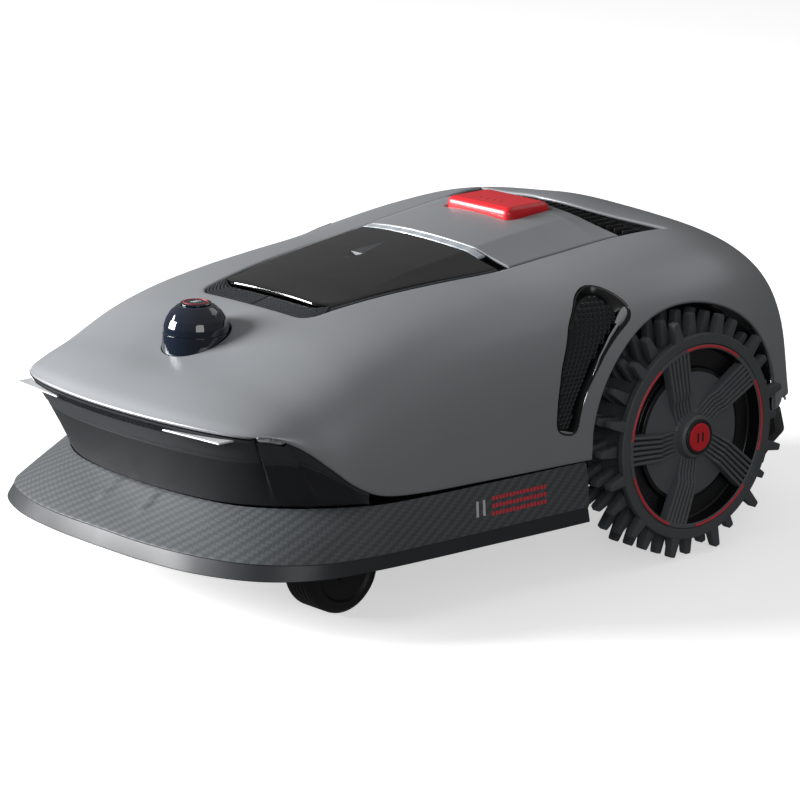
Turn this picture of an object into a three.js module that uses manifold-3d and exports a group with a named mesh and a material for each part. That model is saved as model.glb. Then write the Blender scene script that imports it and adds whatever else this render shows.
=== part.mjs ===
// Robotic lawn mower with a scanning sensor on the hood, modelled as an assembly.
// Millimetres, +Z up. The mower drives towards -Y and its left side is +X.
// The origin is on the ground under the middle of the machine.
import * as THREE from 'three';
import { mergeVertices } from 'three/addons/utils/BufferGeometryUtils.js';
import Module from 'manifold-3d';

const wasm = await Module();
wasm.setup();

// ---------------------------------------------------------------- driving dimensions
const GAP = 0.3; // between neighbouring pieces
const WALL = 3; // moulded plastic walls

// Cover: one row per section, from the nose rim to the rear rim. Each section runs from the
// crown (x = 0) to the lower edge. `full` and `rise` say how square its shoulder is, and
// `sweep` pulls the end of the section round the corner of the machine.
const COVER_SECTIONS = [
  { crown: [-306, 157], edge: [143, -266, 153], full: 0.62, rise: 0.5, sweep: -16 },
  { crown: [-293, 167], edge: [152, -256, 150], full: 0.68, rise: 0.6, sweep: -12 },
  { crown: [-271, 178], edge: [161, -241, 141], full: 0.72, rise: 0.7, sweep: -7 },
  { crown: [-243, 188], edge: [169, -223, 126], full: 0.76, rise: 0.78, sweep: -3 },
  { crown: [-212, 199], edge: [176, -205, 111], full: 0.8, rise: 0.84, sweep: 0 },
  { crown: [-180, 209.5], edge: [181, -182, 100.5], full: 0.83, rise: 0.87, sweep: 0 },
  { crown: [-140, 218.5], edge: [185, -145, 97], full: 0.85, rise: 0.89, sweep: 0 },
  { crown: [-95, 225], edge: [188, -95, 96], full: 0.87, rise: 0.9, sweep: 0 },
  { crown: [-45, 229.5], edge: [191.5, -45, 95.5], full: 0.89, rise: 0.9, sweep: 0 },
  { crown: [10, 233], edge: [196, 8, 95.5], full: 0.92, rise: 0.9, sweep: 0 },
  { crown: [65, 239.5], edge: [205, 65, 96], full: 0.94, rise: 0.88, sweep: 0 },
  { crown: [126, 246], edge: [211.5, 126, 97], full: 0.94, rise: 0.86, sweep: 0 },
  { crown: [180, 249], edge: [210, 178, 98], full: 0.92, rise: 0.86, sweep: 0 },
  { crown: [222, 243], edge: [203, 212, 99], full: 0.89, rise: 0.86, sweep: 0 },
  { crown: [254, 230], edge: [194, 233, 100], full: 0.84, rise: 0.86, sweep: 4 },
  { crown: [275, 213], edge: [187, 244, 101], full: 0.79, rise: 0.86, sweep: 9 },
  { crown: [288, 186], edge: [182, 250, 101.5], full: 0.75, rise: 0.84, sweep: 14 },
  { crown: [300, 144], edge: [179, 254, 102], full: 0.72, rise: 0.7, sweep: 18 },
  { crown: [309, 103], edge: [177, 258, 102], full: 0.68, rise: 0.5, sweep: 20 },
];
const LAST_SECTION = COVER_SECTIONS.length - 1;
const COVER_SPAN = { length: 620, pitch: 36, half: 200 }; // rough size, to start a search with
const SCOOP = { height: 9, width: 55, front: 150, rear: 250 }; // bulge over the rear vent
const DISH = { y: -220, radius: 46, depth: 2 }; // hollow in the hood round the sensor

// Cockpit: the opening in the cover that holds the lid and the centre panel.
const COCKPIT = { front: -161, corner: 16, frontHalf: 52.5, rearMid: 150, rearSide: 184 };
const COCKPIT_SIDE = [[-136, 70], [-60, 82.5], [16, 95], [70, 100], [127, 104], [184, 112]];
const COCKPIT_CROWN = [[-161, 217], [-150, 220.3], [-100, 231], [-44, 241], [2, 247],
  [40, 252], [76, 256], [117, 259], [150, 257]];
const CREASE = { x: 62, drop: 5.5 }; // where the raised middle breaks into the side slopes
const LID = { front: -148, cornerRound: 8, rearMid: 2, rearBow: 13, thick: 3 };
const TRIM = { front: -143, rear: 15, gap: 1.2, thick: 4 }; // woven trim round the lid
const STRIP = { long: 5, thick: 3 };
const PANEL_REAR = 131;
const STOP = { y: 100.5, halfX: 38, halfY: 24.5, top: 263.5 };

// Running gear
const AXLE = { y: 123, z: 99 };
const TYRE = { outer: 99, root: 84, inner: 70, faceX: 211, rows: 3, rowWide: 16, lugs: 12 };
const ARCH = { y: 123, z: 101, radius: 104 };
const CASTER = { x: 124, wheelY: -186, stemY: -208, radius: 35, wide: 36 };
const DECK = { y: -15, radius: 122, low: 44, roof: 84 };
const CUTTER = { radius: 92, low: 46, thick: 4, bladeOrbit: 80, blades: 3 };
const MID_HALF = 157; // half width of the chassis between the drive wheels
const FRONT_HALF = 171; // half width of the chassis ahead of them

// Controls under the lid: [name, x, y]
const TRAY = { x: 82, front: -118, rear: 4, floor: 190, rim: 204 };
const BUTTONS = [
  ['power_button', -45, -35], ['home_button', -15, -35], ['start_button', 15, -35], ['ok_button', 45, -35],
];

// Sensor on the hood, side vents and charging contacts
const LIDAR = { y: -216, low: 178, flange: 27 };
const VENT = [
  [-16, 122], [5, 116], [8, 130], [14, 147], [24, 162], [39, 180], [54, 192], [68, 199.5],
  [72.5, 206], [70, 214], [64, 221], [55, 224.5], [45, 223], [32, 218], [11, 201], [-6, 172], [-13, 147],
];
const VENT_PATCH = [[8, 10.9], [0.32, 0.985]];
const CONTACT = { inner: [66.5, -302], outer: [126.5, -296], tuck: 1.5, top: 151, thick: 1.6 };

// ---------------------------------------------------------------- small maths helpers
const mix = (a, b, t) => a + (b - a) * t;
const clamp = (v, low, high) => Math.min(high, Math.max(low, v));
const smooth = (t) => {
  const c = clamp(t, 0, 1);
  return c * c * (3 - 2 * c);
};
const range = (count) => Array.from({ length: count }, (_, i) => i);
const vec = (x, y, z) => new THREE.Vector3(x, y, z);

// Catmull-Rom value through equally spaced keys, extrapolated at both ends.
function spline(keys, at) {
  const i = clamp(Math.floor(at), 0, keys.length - 2);
  const t = at - i;
  const b = keys[i];
  const c = keys[i + 1];
  const a = i > 0 ? keys[i - 1] : 2 * b - c;
  const d = i + 2 < keys.length ? keys[i + 2] : 2 * c - b;
  return b + 0.5 * t * (c - a + t * (2 * a - 5 * b + 4 * c - d + t * (3 * (b - c) + d - a)));
}

// Straight-line lookup in a list of [position, value] pairs.
function lookup(table, at) {
  const i = clamp(table.findIndex(([p]) => p > at) - 1, 0, table.length - 2);
  const last = at >= table[table.length - 1][0] ? table.length - 2 : i;
  const [[p0, v0], [p1, v1]] = [table[last], table[last + 1]];
  return mix(v0, v1, (at - p0) / (p1 - p0));
}

// ---------------------------------------------------------------- solids
function toManifold(geometry) {
  const bare = geometry.clone();
  bare.deleteAttribute('normal');
  bare.deleteAttribute('uv');
  const merged = mergeVertices(bare, 1e-4);
  return new wasm.Manifold(new wasm.Mesh({
    numProp: 3,
    vertProperties: new Float32Array(merged.attributes.position.array),
    triVerts: new Uint32Array(merged.index.array),
  }));
}

function fromManifold(solid) {
  const mesh = solid.getMesh();
  const geometry = new THREE.BufferGeometry();
  geometry.setAttribute('position', new THREE.BufferAttribute(mesh.vertProperties, 3));
  geometry.setIndex(new THREE.BufferAttribute(mesh.triVerts, 1));
  return geometry;
}

const fold = (method) => (first, ...rest) => fromManifold(
  rest.reduce((solid, next) => solid[method](toManifold(next)), toManifold(first)),
);
const unite = fold('add');
const cut = fold('subtract');
const common = fold('intersect');

// Closed solid between two matching grids of points, grid[row][column]. With `loop` the rows
// close on themselves, as in a ring.
function gridSolid(upper, lower, loop = false) {
  const rows = upper.length;
  const columns = upper[0].length;
  const positions = [...upper.flat(), ...lower.flat()].flatMap((p) => [p.x, p.y, p.z]);
  const top = (r, c) => (r % rows) * columns + c;
  const low = (r, c) => rows * columns + top(r, c);
  const index = [];
  const quad = (a, b, c, d) => index.push(a, b, c, a, c, d);
  for (const r of range(loop ? rows : rows - 1)) {
    for (const c of range(columns - 1)) {
      quad(top(r, c), top(r + 1, c), top(r + 1, c + 1), top(r, c + 1));
      quad(low(r, c), low(r, c + 1), low(r + 1, c + 1), low(r + 1, c));
    }
    quad(top(r, 0), low(r, 0), low(r + 1, 0), top(r + 1, 0));
    quad(top(r + 1, columns - 1), low(r + 1, columns - 1), low(r, columns - 1), top(r, columns - 1));
  }
  if (!loop) {
    for (const c of range(columns - 1)) {
      quad(top(0, c), top(0, c + 1), low(0, c + 1), low(0, c));
      quad(top(rows - 1, c + 1), top(rows - 1, c), low(rows - 1, c), low(rows - 1, c + 1));
    }
  }
  return outward(positions, index);
}

// Closed solid through a row of closed sections with equal point counts.
function loft(sections) {
  const size = sections[0].length;
  const positions = sections.flat().flatMap((p) => [p.x, p.y, p.z]);
  const index = [];
  for (const s of range(sections.length - 1)) {
    for (const i of range(size)) {
      const a = s * size + i;
      const b = s * size + ((i + 1) % size);
      index.push(a, b, b + size, a, b + size, a + size);
    }
  }
  const last = (sections.length - 1) * size;
  for (const i of range(size / 2 - 1)) {
    const [p, q, r, s] = [i, i + 1, size - 2 - i, size - 1 - i];
    index.push(p, r, q, p, s, r, last + p, last + q, last + r, last + p, last + r, last + s);
  }
  return outward(positions, index);
}

// Geometry from an index list, turned so that its volume is positive.
function outward(positions, index) {
  const geometry = new THREE.BufferGeometry();
  geometry.setAttribute('position', new THREE.Float32BufferAttribute(positions, 3));
  const at = (i) => vec(...positions.slice(3 * i, 3 * i + 3));
  const volume = range(index.length / 3).reduce((sum, t) => {
    const [a, b, c] = index.slice(3 * t, 3 * t + 3).map(at);
    return sum + a.dot(b.cross(c));
  }, 0);
  geometry.setIndex(volume > 0 ? index : index.slice().reverse());
  return geometry;
}

const box = (sx, sy, sz, x, y, z) => new THREE.BoxGeometry(sx, sy, sz).translate(x, y, z);

// Box from its lowest to its highest corner.
const block = (x0, y0, z0, x1, y1, z1) => box(
  x1 - x0, y1 - y0, z1 - z0, (x0 + x1) / 2, (y0 + y1) / 2, (z0 + z1) / 2,
);

// Upright prism over a plan outline of [x, y] points.
function prism(points, z0, z1, holes = []) {
  const shape = new THREE.Shape(points.map(([x, y]) => new THREE.Vector2(x, y)));
  shape.holes = holes.map((hole) => new THREE.Path(hole.map(([x, y]) => new THREE.Vector2(x, y))));
  return new THREE.ExtrudeGeometry(shape, { depth: z1 - z0, bevelEnabled: false }).translate(0, 0, z0);
}

// Prism along X over a side-view outline of [y, z] points.
const sidePrism = (points, x0, x1) => prism(points, x0, x1)
  .applyMatrix4(new THREE.Matrix4().makeBasis(vec(0, 1, 0), vec(0, 0, 1), vec(1, 0, 0)));

// Solid of revolution about Z from [radius, z] points.
const turned = (profile, segments = 32) => new THREE.LatheGeometry(
  profile.map(([r, z]) => new THREE.Vector2(r, z)), segments,
).rotateX(Math.PI / 2);

const drum = (radius, z0, z1, x = 0, y = 0, segments = 32) => turned(
  [[0, z0], [radius, z0], [radius, z1], [0, z1]], segments,
).translate(x, y, 0);

const circle = (radius, count, x = 0, y = 0, start = 0) => range(count).map((i) => {
  const angle = start + (2 * Math.PI * i) / count;
  return [x + radius * Math.cos(angle), y + radius * Math.sin(angle)];
});

// Rectangle with rounded corners, as plan points.
function roundedRect(halfX, halfY, radius, steps = 4) {
  const corners = [[1, 1, 0], [-1, 1, 1], [-1, -1, 2], [1, -1, 3]];
  return corners.flatMap(([sx, sy, quarter]) => range(steps + 1).map((i) => {
    const angle = (quarter + i / steps) * (Math.PI / 2);
    return [sx * (halfX - radius) + radius * Math.cos(angle),
      sy * (halfY - radius) + radius * Math.sin(angle)];
  }));
}

const mirrored = (geometry) => {
  const copy = geometry.clone().scale(-1, 1, 1);
  const index = copy.index
    ? Array.from(copy.index.array)
    : range(copy.attributes.position.count);
  copy.setIndex(index.reverse());
  return copy;
};

// ---------------------------------------------------------------- cover surface
const sectionValue = (u, pick) => spline(COVER_SECTIONS.map(pick), u);

// Point of the outer skin: u counts sections from the nose, v runs from the crown (0) to the
// lower edge (1).
function coverPoint(u, v) {
  const side = v < 0 ? -1 : 1;
  const t = Math.abs(v);
  const [cy, cz] = [sectionValue(u, (s) => s.crown[0]), sectionValue(u, (s) => s.crown[1])];
  const [ex, ey, ez] = [0, 1, 2].map((k) => sectionValue(u, (s) => s.edge[k]));
  const full = sectionValue(u, (s) => s.full);
  const rise = sectionValue(u, (s) => s.rise);
  const sweep = sectionValue(u, (s) => s.sweep);
  const curve = new THREE.CubicBezierCurve3(
    vec(0, cy, cz), vec(full * ex, cy, cz), vec(ex, ey + sweep, mix(ez, cz, rise)), vec(ex, ey, ez),
  );
  const p = curve.getPoint(t);
  const fade = smooth((SCOOP.rear - p.y) / (SCOOP.rear - SCOOP.front));
  p.z += SCOOP.height * Math.exp(-((p.x / SCOOP.width) ** 2)) * fade * smooth((p.y - 90) / 50);
  p.z -= DISH.depth * smooth(1.35 - Math.hypot(p.x, p.y - DISH.y) / DISH.radius);
  p.x *= side;
  return p;
}

// Skin point moved along the outward normal.
function coverOffset(u, v, distance) {
  const step = 1e-3;
  const p = coverPoint(u, v);
  const along = coverPoint(u + step, v).sub(p);
  const across = coverPoint(u, v + step).sub(p);
  const normal = across.cross(along).normalize();
  return p.addScaledVector(normal.z < -0.6 ? normal.negate() : normal, distance);
}

// Parameters of the skin point above a plan position (x not negative).
function coverUv(x, y) {
  const { length, pitch, half } = COVER_SPAN;
  let [u, v] = [LAST_SECTION * clamp(y / length + 0.5, 0.05, 0.9), x / half];
  for (const _ of range(40)) {
    const p = coverPoint(u, v);
    u += clamp((y - p.y) / pitch, -1, 1);
    v = clamp(v + (x - p.x) / (1.5 * half), 0, 1);
  }
  return [u, v];
}

// Parameters of the skin point seen from the side at [y, z].
function coverSideUv(y, z) {
  const { pitch, half } = COVER_SPAN;
  let [u, v] = [11, 0.8];
  for (const _ of range(60)) {
    const p = coverPoint(u, v);
    u += clamp((y - p.y) / (1.3 * pitch), -1, 1);
    v = clamp(v - (z - p.z) / (2 * half), 0.3, 1);
  }
  return [u, v];
}

// ---------------------------------------------------------------- cockpit surface
const cockpitEdge = (y) => lookup(COCKPIT_SIDE, y);

// Points of the cockpit opening in plan: across the front, along the side, across the rear.
function cockpitFront(f) {
  const { front, corner, frontHalf } = COCKPIT;
  const turn = (corner * Math.PI) / 2;
  const run = f * (frontHalf + turn);
  if (run <= frontHalf) return [run, front];
  const angle = (run - frontHalf) / corner;
  return [frontHalf + corner * Math.sin(angle), front + corner * (1 - Math.cos(angle))];
}
const cockpitFlank = (f) => {
  const y = mix(COCKPIT.front + COCKPIT.corner, COCKPIT.rearSide, f);
  return [cockpitEdge(y), y];
};
const cockpitRear = (f) => [
  (1 - f) * cockpitEdge(COCKPIT.rearSide), mix(COCKPIT.rearMid, COCKPIT.rearSide, (1 - f) ** 1.3),
];

// Height of the lid, light strip and centre panel above the ground.
function cockpitZ(x, y) {
  const edge = cockpitEdge(y);
  const [u, v] = coverUv(edge, y);
  const edgeZ = coverPoint(u, v).z;
  const crownZ = lookup(COCKPIT_CROWN, y);
  const creaseX = Math.min(CREASE.x, edge - 12);
  const creaseZ = mix(crownZ, Math.max(crownZ - CREASE.drop, edgeZ), smooth((y + 165) / 60));
  const a = Math.abs(x);
  if (a <= creaseX) return crownZ - (crownZ - creaseZ) * (a / creaseX) ** 2;
  return mix(creaseZ, edgeZ, (a - creaseX) / (edge - creaseX));
}

// Curved plate following the cockpit surface. `plan(s, t)` gives [x, y] for s in -1..1 across
// and t in 0..1 from front to rear.
function cockpitPlate(plan, thick, lift = 0, across = 12, along = 8) {
  const grid = (drop) => range(along + 1).map((j) => range(across + 1).map((i) => {
    const [x, y] = plan(mix(-1, 1, i / across), j / along);
    return vec(x, y, cockpitZ(x, y) + lift - drop);
  }));
  return gridSolid(grid(0), grid(thick));
}

// ---------------------------------------------------------------- body shells
const ARCH_ENDS = [Math.PI + 0.03, -0.03];

// Outer boundary of half the cover in skin parameters: nose rim, side with the wheel arch,
// rear rim.
function coverBoundary() {
  const nose = [0, 0.2, 0.38, 0.54, 0.68, 0.8, 0.9, 1].map((v) => [0, v]);
  const arch = range(15).map((i) => {
    const angle = mix(...ARCH_ENDS, i / 14);
    return coverSideUv(ARCH.y + ARCH.radius * Math.cos(angle), ARCH.z + ARCH.radius * Math.sin(angle));
  });
  const before = [1, 2, 3, 4, 5.2, 6.5, 8].map((u) => [u, 1]);
  const after = [14.2, 16].map((u) => [u, 1]);
  const rear = [1, 0.85, 0.68, 0.46, 0.24, 0].map((v) => [LAST_SECTION, v]);
  return [nose, [...before, [arch[0][0], 1], ...arch, [arch[14][0], 1], ...after], rear];
}

// Share of the way along a run of skin points, measured in plan.
function planShares(run) {
  const points = run.map(([u, v]) => coverPoint(u, v));
  const steps = points.map((p, i) => (i ? Math.hypot(p.x - points[i - 1].x, p.y - points[i - 1].y) : 0));
  const total = steps.reduce((sum, s) => sum + s, 0);
  return steps.map((_, i) => steps.slice(0, i + 1).reduce((sum, s) => sum + s, 0) / total);
}

function topCover() {
  const [nose, flank, rear] = coverBoundary();
  const side = planShares([nose[nose.length - 1], ...flank, rear[0]]).slice(1, -1);
  const inner = [
    ...planShares(nose).map(cockpitFront), ...side.map(cockpitFlank), ...planShares(rear).map(cockpitRear),
  ].map(([x, y]) => coverUv(x, y));
  const outer = [...nose, ...flank, ...rear];
  const count = inner.length;
  const steps = 6;
  const spoke = (hand, depth) => (i) => range(steps + 1).map((j) => {
    const t = j / steps;
    const [u, v] = [mix(inner[i][0], outer[i][0], t), mix(inner[i][1], outer[i][1], t)];
    const p = j ? coverOffset(u, v, -depth) : coverPoint(u, v).add(vec(0, 0, -depth));
    p.x *= hand;
    return p;
  });
  const ring = (depth) => [
    ...range(count).map(spoke(1, depth)),
    ...range(count - 2).map((i) => count - 2 - i).map(spoke(-1, depth)),
  ];
  return gridSolid(ring(0), ring(WALL), true);
}

// Slice of the cover skin between two depths, over a patch of its parameters.
function skinPatch([u0, u1], [v0, v1], outerDepth, innerDepth, rows = 8, columns = 8) {
  const grid = (depth) => range(rows + 1).map((r) => range(columns + 1).map(
    (c) => coverOffset(mix(u0, u1, r / rows), mix(v0, v1, c / columns), -depth),
  ));
  return gridSolid(grid(outerDepth), grid(innerDepth));
}

// Half a body rail: distance along it runs from the front middle (0) to its end (1).
const rail = (keys) => (f) => vec(
  ...[0, 1, 2].map((k) => spline(keys.map((p) => p[k]), f * (keys.length - 1))),
);

// Both halves of a moulding whose half section at f is section(f), from its left end round
// the front (or rear) to its right end.
function halfToHalf(section, count) {
  const half = range(count).map((i) => section(i / (count - 1)));
  const other = half.slice(1).map((points) => points.map((p) => vec(-p.x, p.y, p.z)));
  return loft([...other.reverse(), ...half]);
}

// The nose fills the space between the cover rim and the skirt.
const noseTop = (f) => {
  const u = clamp((f - 0.6) / 0.4, 0, 1) * 4.6;
  return coverOffset(u, f < 0.6 ? f / 0.6 : 1, -WALL).add(vec(0, 0, -2 * GAP));
};
const noseFoot = rail([
  [0, -273.4, 91], [48, -271, 91.5], [90, -263, 92], [124, -247, 93], [150, -224, 94],
  [167, -203, 95], [176, -192, 95.5],
]);
function noseBumper() {
  const section = (f) => {
    const top = noseTop(f);
    const foot = noseFoot(f);
    const inward = vec(-foot.x, -150 - foot.y, 0).normalize();
    const band = top.clone().lerp(foot, 0.3).addScaledVector(inward, -2 * (1 - f));
    return [
      top, band, foot, foot.clone().addScaledVector(inward, WALL),
      band.clone().addScaledVector(inward, WALL + 1), top.clone().addScaledVector(inward, WALL),
    ];
  };
  return halfToHalf(section, 17);
}

const skirtTop = rail([
  [0, -271, 90.2], [50, -269, 90.6], [95, -261, 91], [130, -243, 92], [158, -215, 93],
  [178, -180, 94], [186, -130, 94.5], [188.5, -80, 94.5], [191, -30, 94.5], [193, 17, 94.5],
]);
const skirtLip = rail([
  [0, -314, 62.4], [55, -312.5, 62], [108, -303, 61.5], [152, -283, 61], [180, -247, 60],
  [190.5, -200, 59], [193, -140, 58.5], [194, -85, 58], [195.5, -32, 58], [197, 17, 58],
]);
const skirtHem = rail([
  [0, -319, 49], [57, -317, 49], [112, -308, 49], [158, -286, 49], [184, -249, 48.5],
  [192.5, -200, 48], [194.5, -140, 47], [195.5, -85, 46.5], [197, -32, 46], [198.5, 17, 46],
]);
function skirt() {
  const section = (f) => {
    const rails = [skirtTop(f), skirtLip(f), skirtHem(f)];
    const inward = vec(-rails[2].x, -120 - rails[2].y, 0).normalize();
    const inner = [[WALL, -4], [WALL + 2, -4], [WALL, 0]].map(
      ([depth, drop], i) => rails[i].clone().addScaledVector(inward, depth).add(vec(0, 0, drop)),
    );
    return [...rails, ...inner.reverse()];
  };
  return halfToHalf(section, 29);
}

const rearTop = rail([
  [0, 306, 99.5], [62, 304, 99.5], [115, 295.5, 99.5], [149, 279, 99.5], [171, 257, 99], [188, 234, 97.5],
]);
const rearHem = rail([
  [0, 319, 66], [64, 317, 66], [118, 307, 66], [154, 288, 66], [177, 263, 66], [192, 234, 66],
]);
const rearLow = rail([
  [0, 306, 44], [60, 303.5, 44], [110, 294, 44], [144, 276, 44], [166, 254, 44], [181, 232, 44],
]);
function rearBumper() {
  const section = (f) => {
    const rails = [rearTop(f), rearHem(f), rearLow(f)];
    const inward = vec(-rails[0].x, 120 - rails[0].y, 0).normalize();
    const inner = rails.map((p) => p.clone().addScaledVector(inward, WALL));
    return [...rails, ...inner.reverse()];
  };
  return halfToHalf(section, 17);
}

// ---------------------------------------------------------------- chassis
function frontChassis() {
  const outline = [
    [-FRONT_HALF, -146], [-FRONT_HALF, -185], [-150, -222], [-95, -252], [0, -262],
    [95, -252], [150, -222], [FRONT_HALF, -185], [FRONT_HALF, -146],
  ];
  const stem = (x) => drum(15, 80, 100, x, CASTER.stemY, 16);
  const bore = (x) => drum(8.3, 73, 101, x, CASTER.stemY, 16);
  const rib = block(-110, -211, 86, 110, -205, 97);
  const body = unite(prism(outline, 80, 87), rib, stem(CASTER.x), stem(-CASTER.x));
  return cut(body, bore(CASTER.x), bore(-CASTER.x));
}

function deckHousing() {
  const plan = [
    [-FRONT_HALF, -145.7], [FRONT_HALF, -145.7], [FRONT_HALF, 14], [MID_HALF, 14],
    [MID_HALF, 96], [63.5, 96], [63.5, 110], [-63.5, 110], [-63.5, 96], [-MID_HALF, 96],
    [-MID_HALF, 14], [-FRONT_HALF, 14],
  ];
  const { y, radius, low, roof } = DECK;
  const bowl = cut(drum(radius + WALL, low, roof + 1, 0, y, 40), drum(radius, low - 1, roof, 0, y, 40));
  const body = unite(prism(plan, roof, roof + 4), bowl);
  return cut(body, drum(33, roof - 4, roof + 8, 0, y, 32));
}

function rearChassis() {
  const outline = [
    [-MID_HALF, 96.3], [-64, 96.3], [-64, 110.5], [64, 110.5], [64, 96.3], [MID_HALF, 96.3],
    [MID_HALF, 236], [120, 272], [60, 292], [-60, 292], [-120, 272], [-MID_HALF, 236],
  ];
  const inner = [
    [-MID_HALF + 4, 100.3], [-68, 100.3], [-68, 114.5], [68, 114.5], [68, 100.3], [MID_HALF - 4, 100.3],
    [MID_HALF - 4, 233], [117, 268], [59, 288], [-59, 288], [-117, 268], [-MID_HALF + 4, 233],
  ];
  const cradle = (x) => block(x - 22, 113, 47, x + 22, 133, 74.7);
  return unite(cut(prism(outline, 44, 88), prism(inner, 48, 90)), cradle(112), cradle(-112));
}

// Dark shell inside each wheel arch.
function wheelLiner() {
  const arc = (radius) => range(17).map((i) => {
    const angle = Math.PI * (1 - i / 16);
    return [ARCH.y + radius * Math.cos(angle), ARCH.z + radius * Math.sin(angle)];
  });
  const crown = sidePrism([...arc(103.5), ...arc(101.5).reverse()], 158, 178);
  const wall = sidePrism(arc(102.5), 158, 160);
  const shaftHole = drum(13, 150, 165, AXLE.y, AXLE.z, 24)
    .applyMatrix4(new THREE.Matrix4().makeBasis(vec(0, 1, 0), vec(0, 0, 1), vec(1, 0, 0)));
  return cut(unite(crown, wall), shaftHole);
}

// ---------------------------------------------------------------- cockpit pieces
// Half width left for a plate at y, less a margin.
const halfWide = (y, margin) => cockpitEdge(y) - margin;
const lidMargin = (y) => mix(5.5, 2.5, smooth((y + 136) / 150));
const lidFront = (s) => LID.front + LID.cornerRound * Math.max(0, (Math.abs(s) - 0.7) / 0.3) ** 2;
const lidRear = (s) => LID.rearMid + LID.rearBow * s * s;
const STRIP_HALF = 74;

const canopyLid = () => cockpitPlate((s, t) => {
  const y = mix(lidFront(s), lidRear(s), t);
  return [s * halfWide(y, lidMargin(y)), y];
}, LID.thick, 0, 14, 10);

// Woven trim round the front and sides of the lid, lying a little below it.
function grilleTrim() {
  const section = (f) => {
    const front = f < 0.3;
    const g = front ? f / 0.3 : (f - 0.3) / 0.7;
    const y = front ? TRIM.front : mix(TRIM.front, TRIM.rear, g);
    const [ox, oy] = front ? cockpitFront(g) : [cockpitEdge(y), y];
    const inset = lidMargin(y) + TRIM.gap;
    const [ix, iy] = [halfWide(y, inset) * (front ? g : 1), front ? lidFront(g) - 1 : y];
    const [u, v] = coverUv(ox, oy);
    const inward = vec(ix - ox, iy - oy, 0).normalize().multiplyScalar(TRIM.gap);
    const edge = coverPoint(u, v).add(inward).add(vec(0, 0, -1));
    const innerEdge = vec(ix, iy, Math.min(cockpitZ(ix, iy) - LID.thick - 1.4, edge.z + 1));
    const drop = vec(0, 0, -TRIM.thick);
    return [innerEdge, edge, edge.clone().add(drop), innerEdge.clone().add(drop)];
  };
  return halfToHalf(section, 23);
}

const lightStrip = () => cockpitPlate((s, t) => {
  const x = s * STRIP_HALF;
  return [x, lidRear(x / 95) + 1 + t * STRIP.long];
}, STRIP.thick, 0, 14, 1);

function centrePanel() {
  const plate = cockpitPlate((s, t) => {
    const y = mix(lidRear(s) + 2 + STRIP.long, PANEL_REAR + 6 * s * s, t);
    return [s * halfWide(y, 1), y];
  }, WALL, 0, 14, 10);
  const outline = roundedRect(STOP.halfX + 2 * GAP, STOP.halfY + 2 * GAP, 7);
  return cut(plate, prism(outline, 200, 280).translate(0, STOP.y, 0));
}

const rearVentGrille = () => cockpitPlate((s, t) => {
  const y = mix(PANEL_REAR + 0.5 + 6 * s * s, COCKPIT.rearMid + 34 * Math.abs(s) ** 1.3 - 3, t);
  return [s * halfWide(y, 4), y];
}, 4, -7, 12, 3);

function stopButton() {
  const stem = prism(roundedRect(STOP.halfX, STOP.halfY, 7), STOP.top - 20, STOP.top - 3);
  const crown = prism(roundedRect(STOP.halfX - 2.5, STOP.halfY - 2.5, 5), STOP.top - 3.2, STOP.top);
  return unite(stem, crown).translate(0, STOP.y, 0);
}

// Tray under the lid with its posts.
function controlPanel() {
  const { x, front, rear, floor, rim } = TRAY;
  const hollow = block(-x + WALL, front + WALL, floor + 4, x - WALL, rear - WALL, rim + 1);
  const shell = cut(block(-x, front, floor, x, rear, rim), hollow);
  const posts = [[-70, -108], [70, -108], [-70, -6], [70, -6]].map(
    ([px, py]) => drum(5, DECK.roof + 4 + GAP, floor + 1, px, py, 12),
  );
  const wells = BUTTONS.map(([, px, py]) => drum(7.4, floor - 1, floor + 6, px, py, 16));
  return cut(unite(shell, ...posts), ...wells);
}
const panelButton = (x, y) => turned(
  [[0, TRAY.floor], [7, TRAY.floor], [7, TRAY.floor + 6], [6, TRAY.floor + 7], [0, TRAY.floor + 7]], 14,
).translate(x, y, 0);

// ---------------------------------------------------------------- sensor on the hood
const lidarPiece = (profile, segments = 24) => turned(profile, segments).translate(0, LIDAR.y, LIDAR.low);
const lidarBase = () => lidarPiece([
  [0, 0], [LIDAR.flange, 0], [LIDAR.flange, 20], [25, 23], [20, 23], [20, 12], [0, 12],
]);
const lidarRotor = () => lidarPiece([[0, 12.4], [13, 12.4], [13, 32], [0, 32]], 20);
const lidarDome = () => lidarPiece([
  [17, 23.3], [24.6, 23.3], [24.9, 27], [24, 33], [21, 40], [14.5, 44.5], [0, 44.5], [0, 42.2],
  [13.5, 42.2], [19, 38], [21.6, 32], [22, 26], [17, 26], [17, 23.3],
]);
const lidarCap = () => lidarPiece([[0, 44.8], [12, 44.8], [12, 46], [11, 46.8], [0, 46.8]], 24);
const lidarHole = () => drum(LIDAR.flange + 0.6, 120, 240, 0, LIDAR.y);

// ---------------------------------------------------------------- side vents
// Closed outline moved inwards by a distance; its points run anticlockwise.
function inset(outline, mm) {
  const count = outline.length;
  const edgeNormal = (i) => {
    const [a, b] = [outline[(i + count) % count], outline[(i + 1) % count]];
    return new THREE.Vector2(a[1] - b[1], b[0] - a[0]).normalize();
  };
  return outline.map(([y, z], i) => {
    const [before, after] = [edgeNormal(i - 1), edgeNormal(i)];
    const move = before.clone().add(after).multiplyScalar(mm / (1 + before.dot(after)));
    return [y + move.x, z + move.y];
  });
}
const ventCutter = (margin) => sidePrism(inset(VENT, margin), 100, 230);
const ventBezel = () => cut(
  common(skinPatch(...VENT_PATCH, -0.6, 6, 5, 9), ventCutter(0.5)), ventCutter(5),
);
const ventMesh = () => common(skinPatch(...VENT_PATCH, 4, 6, 4, 7), ventCutter(5.5));

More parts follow.
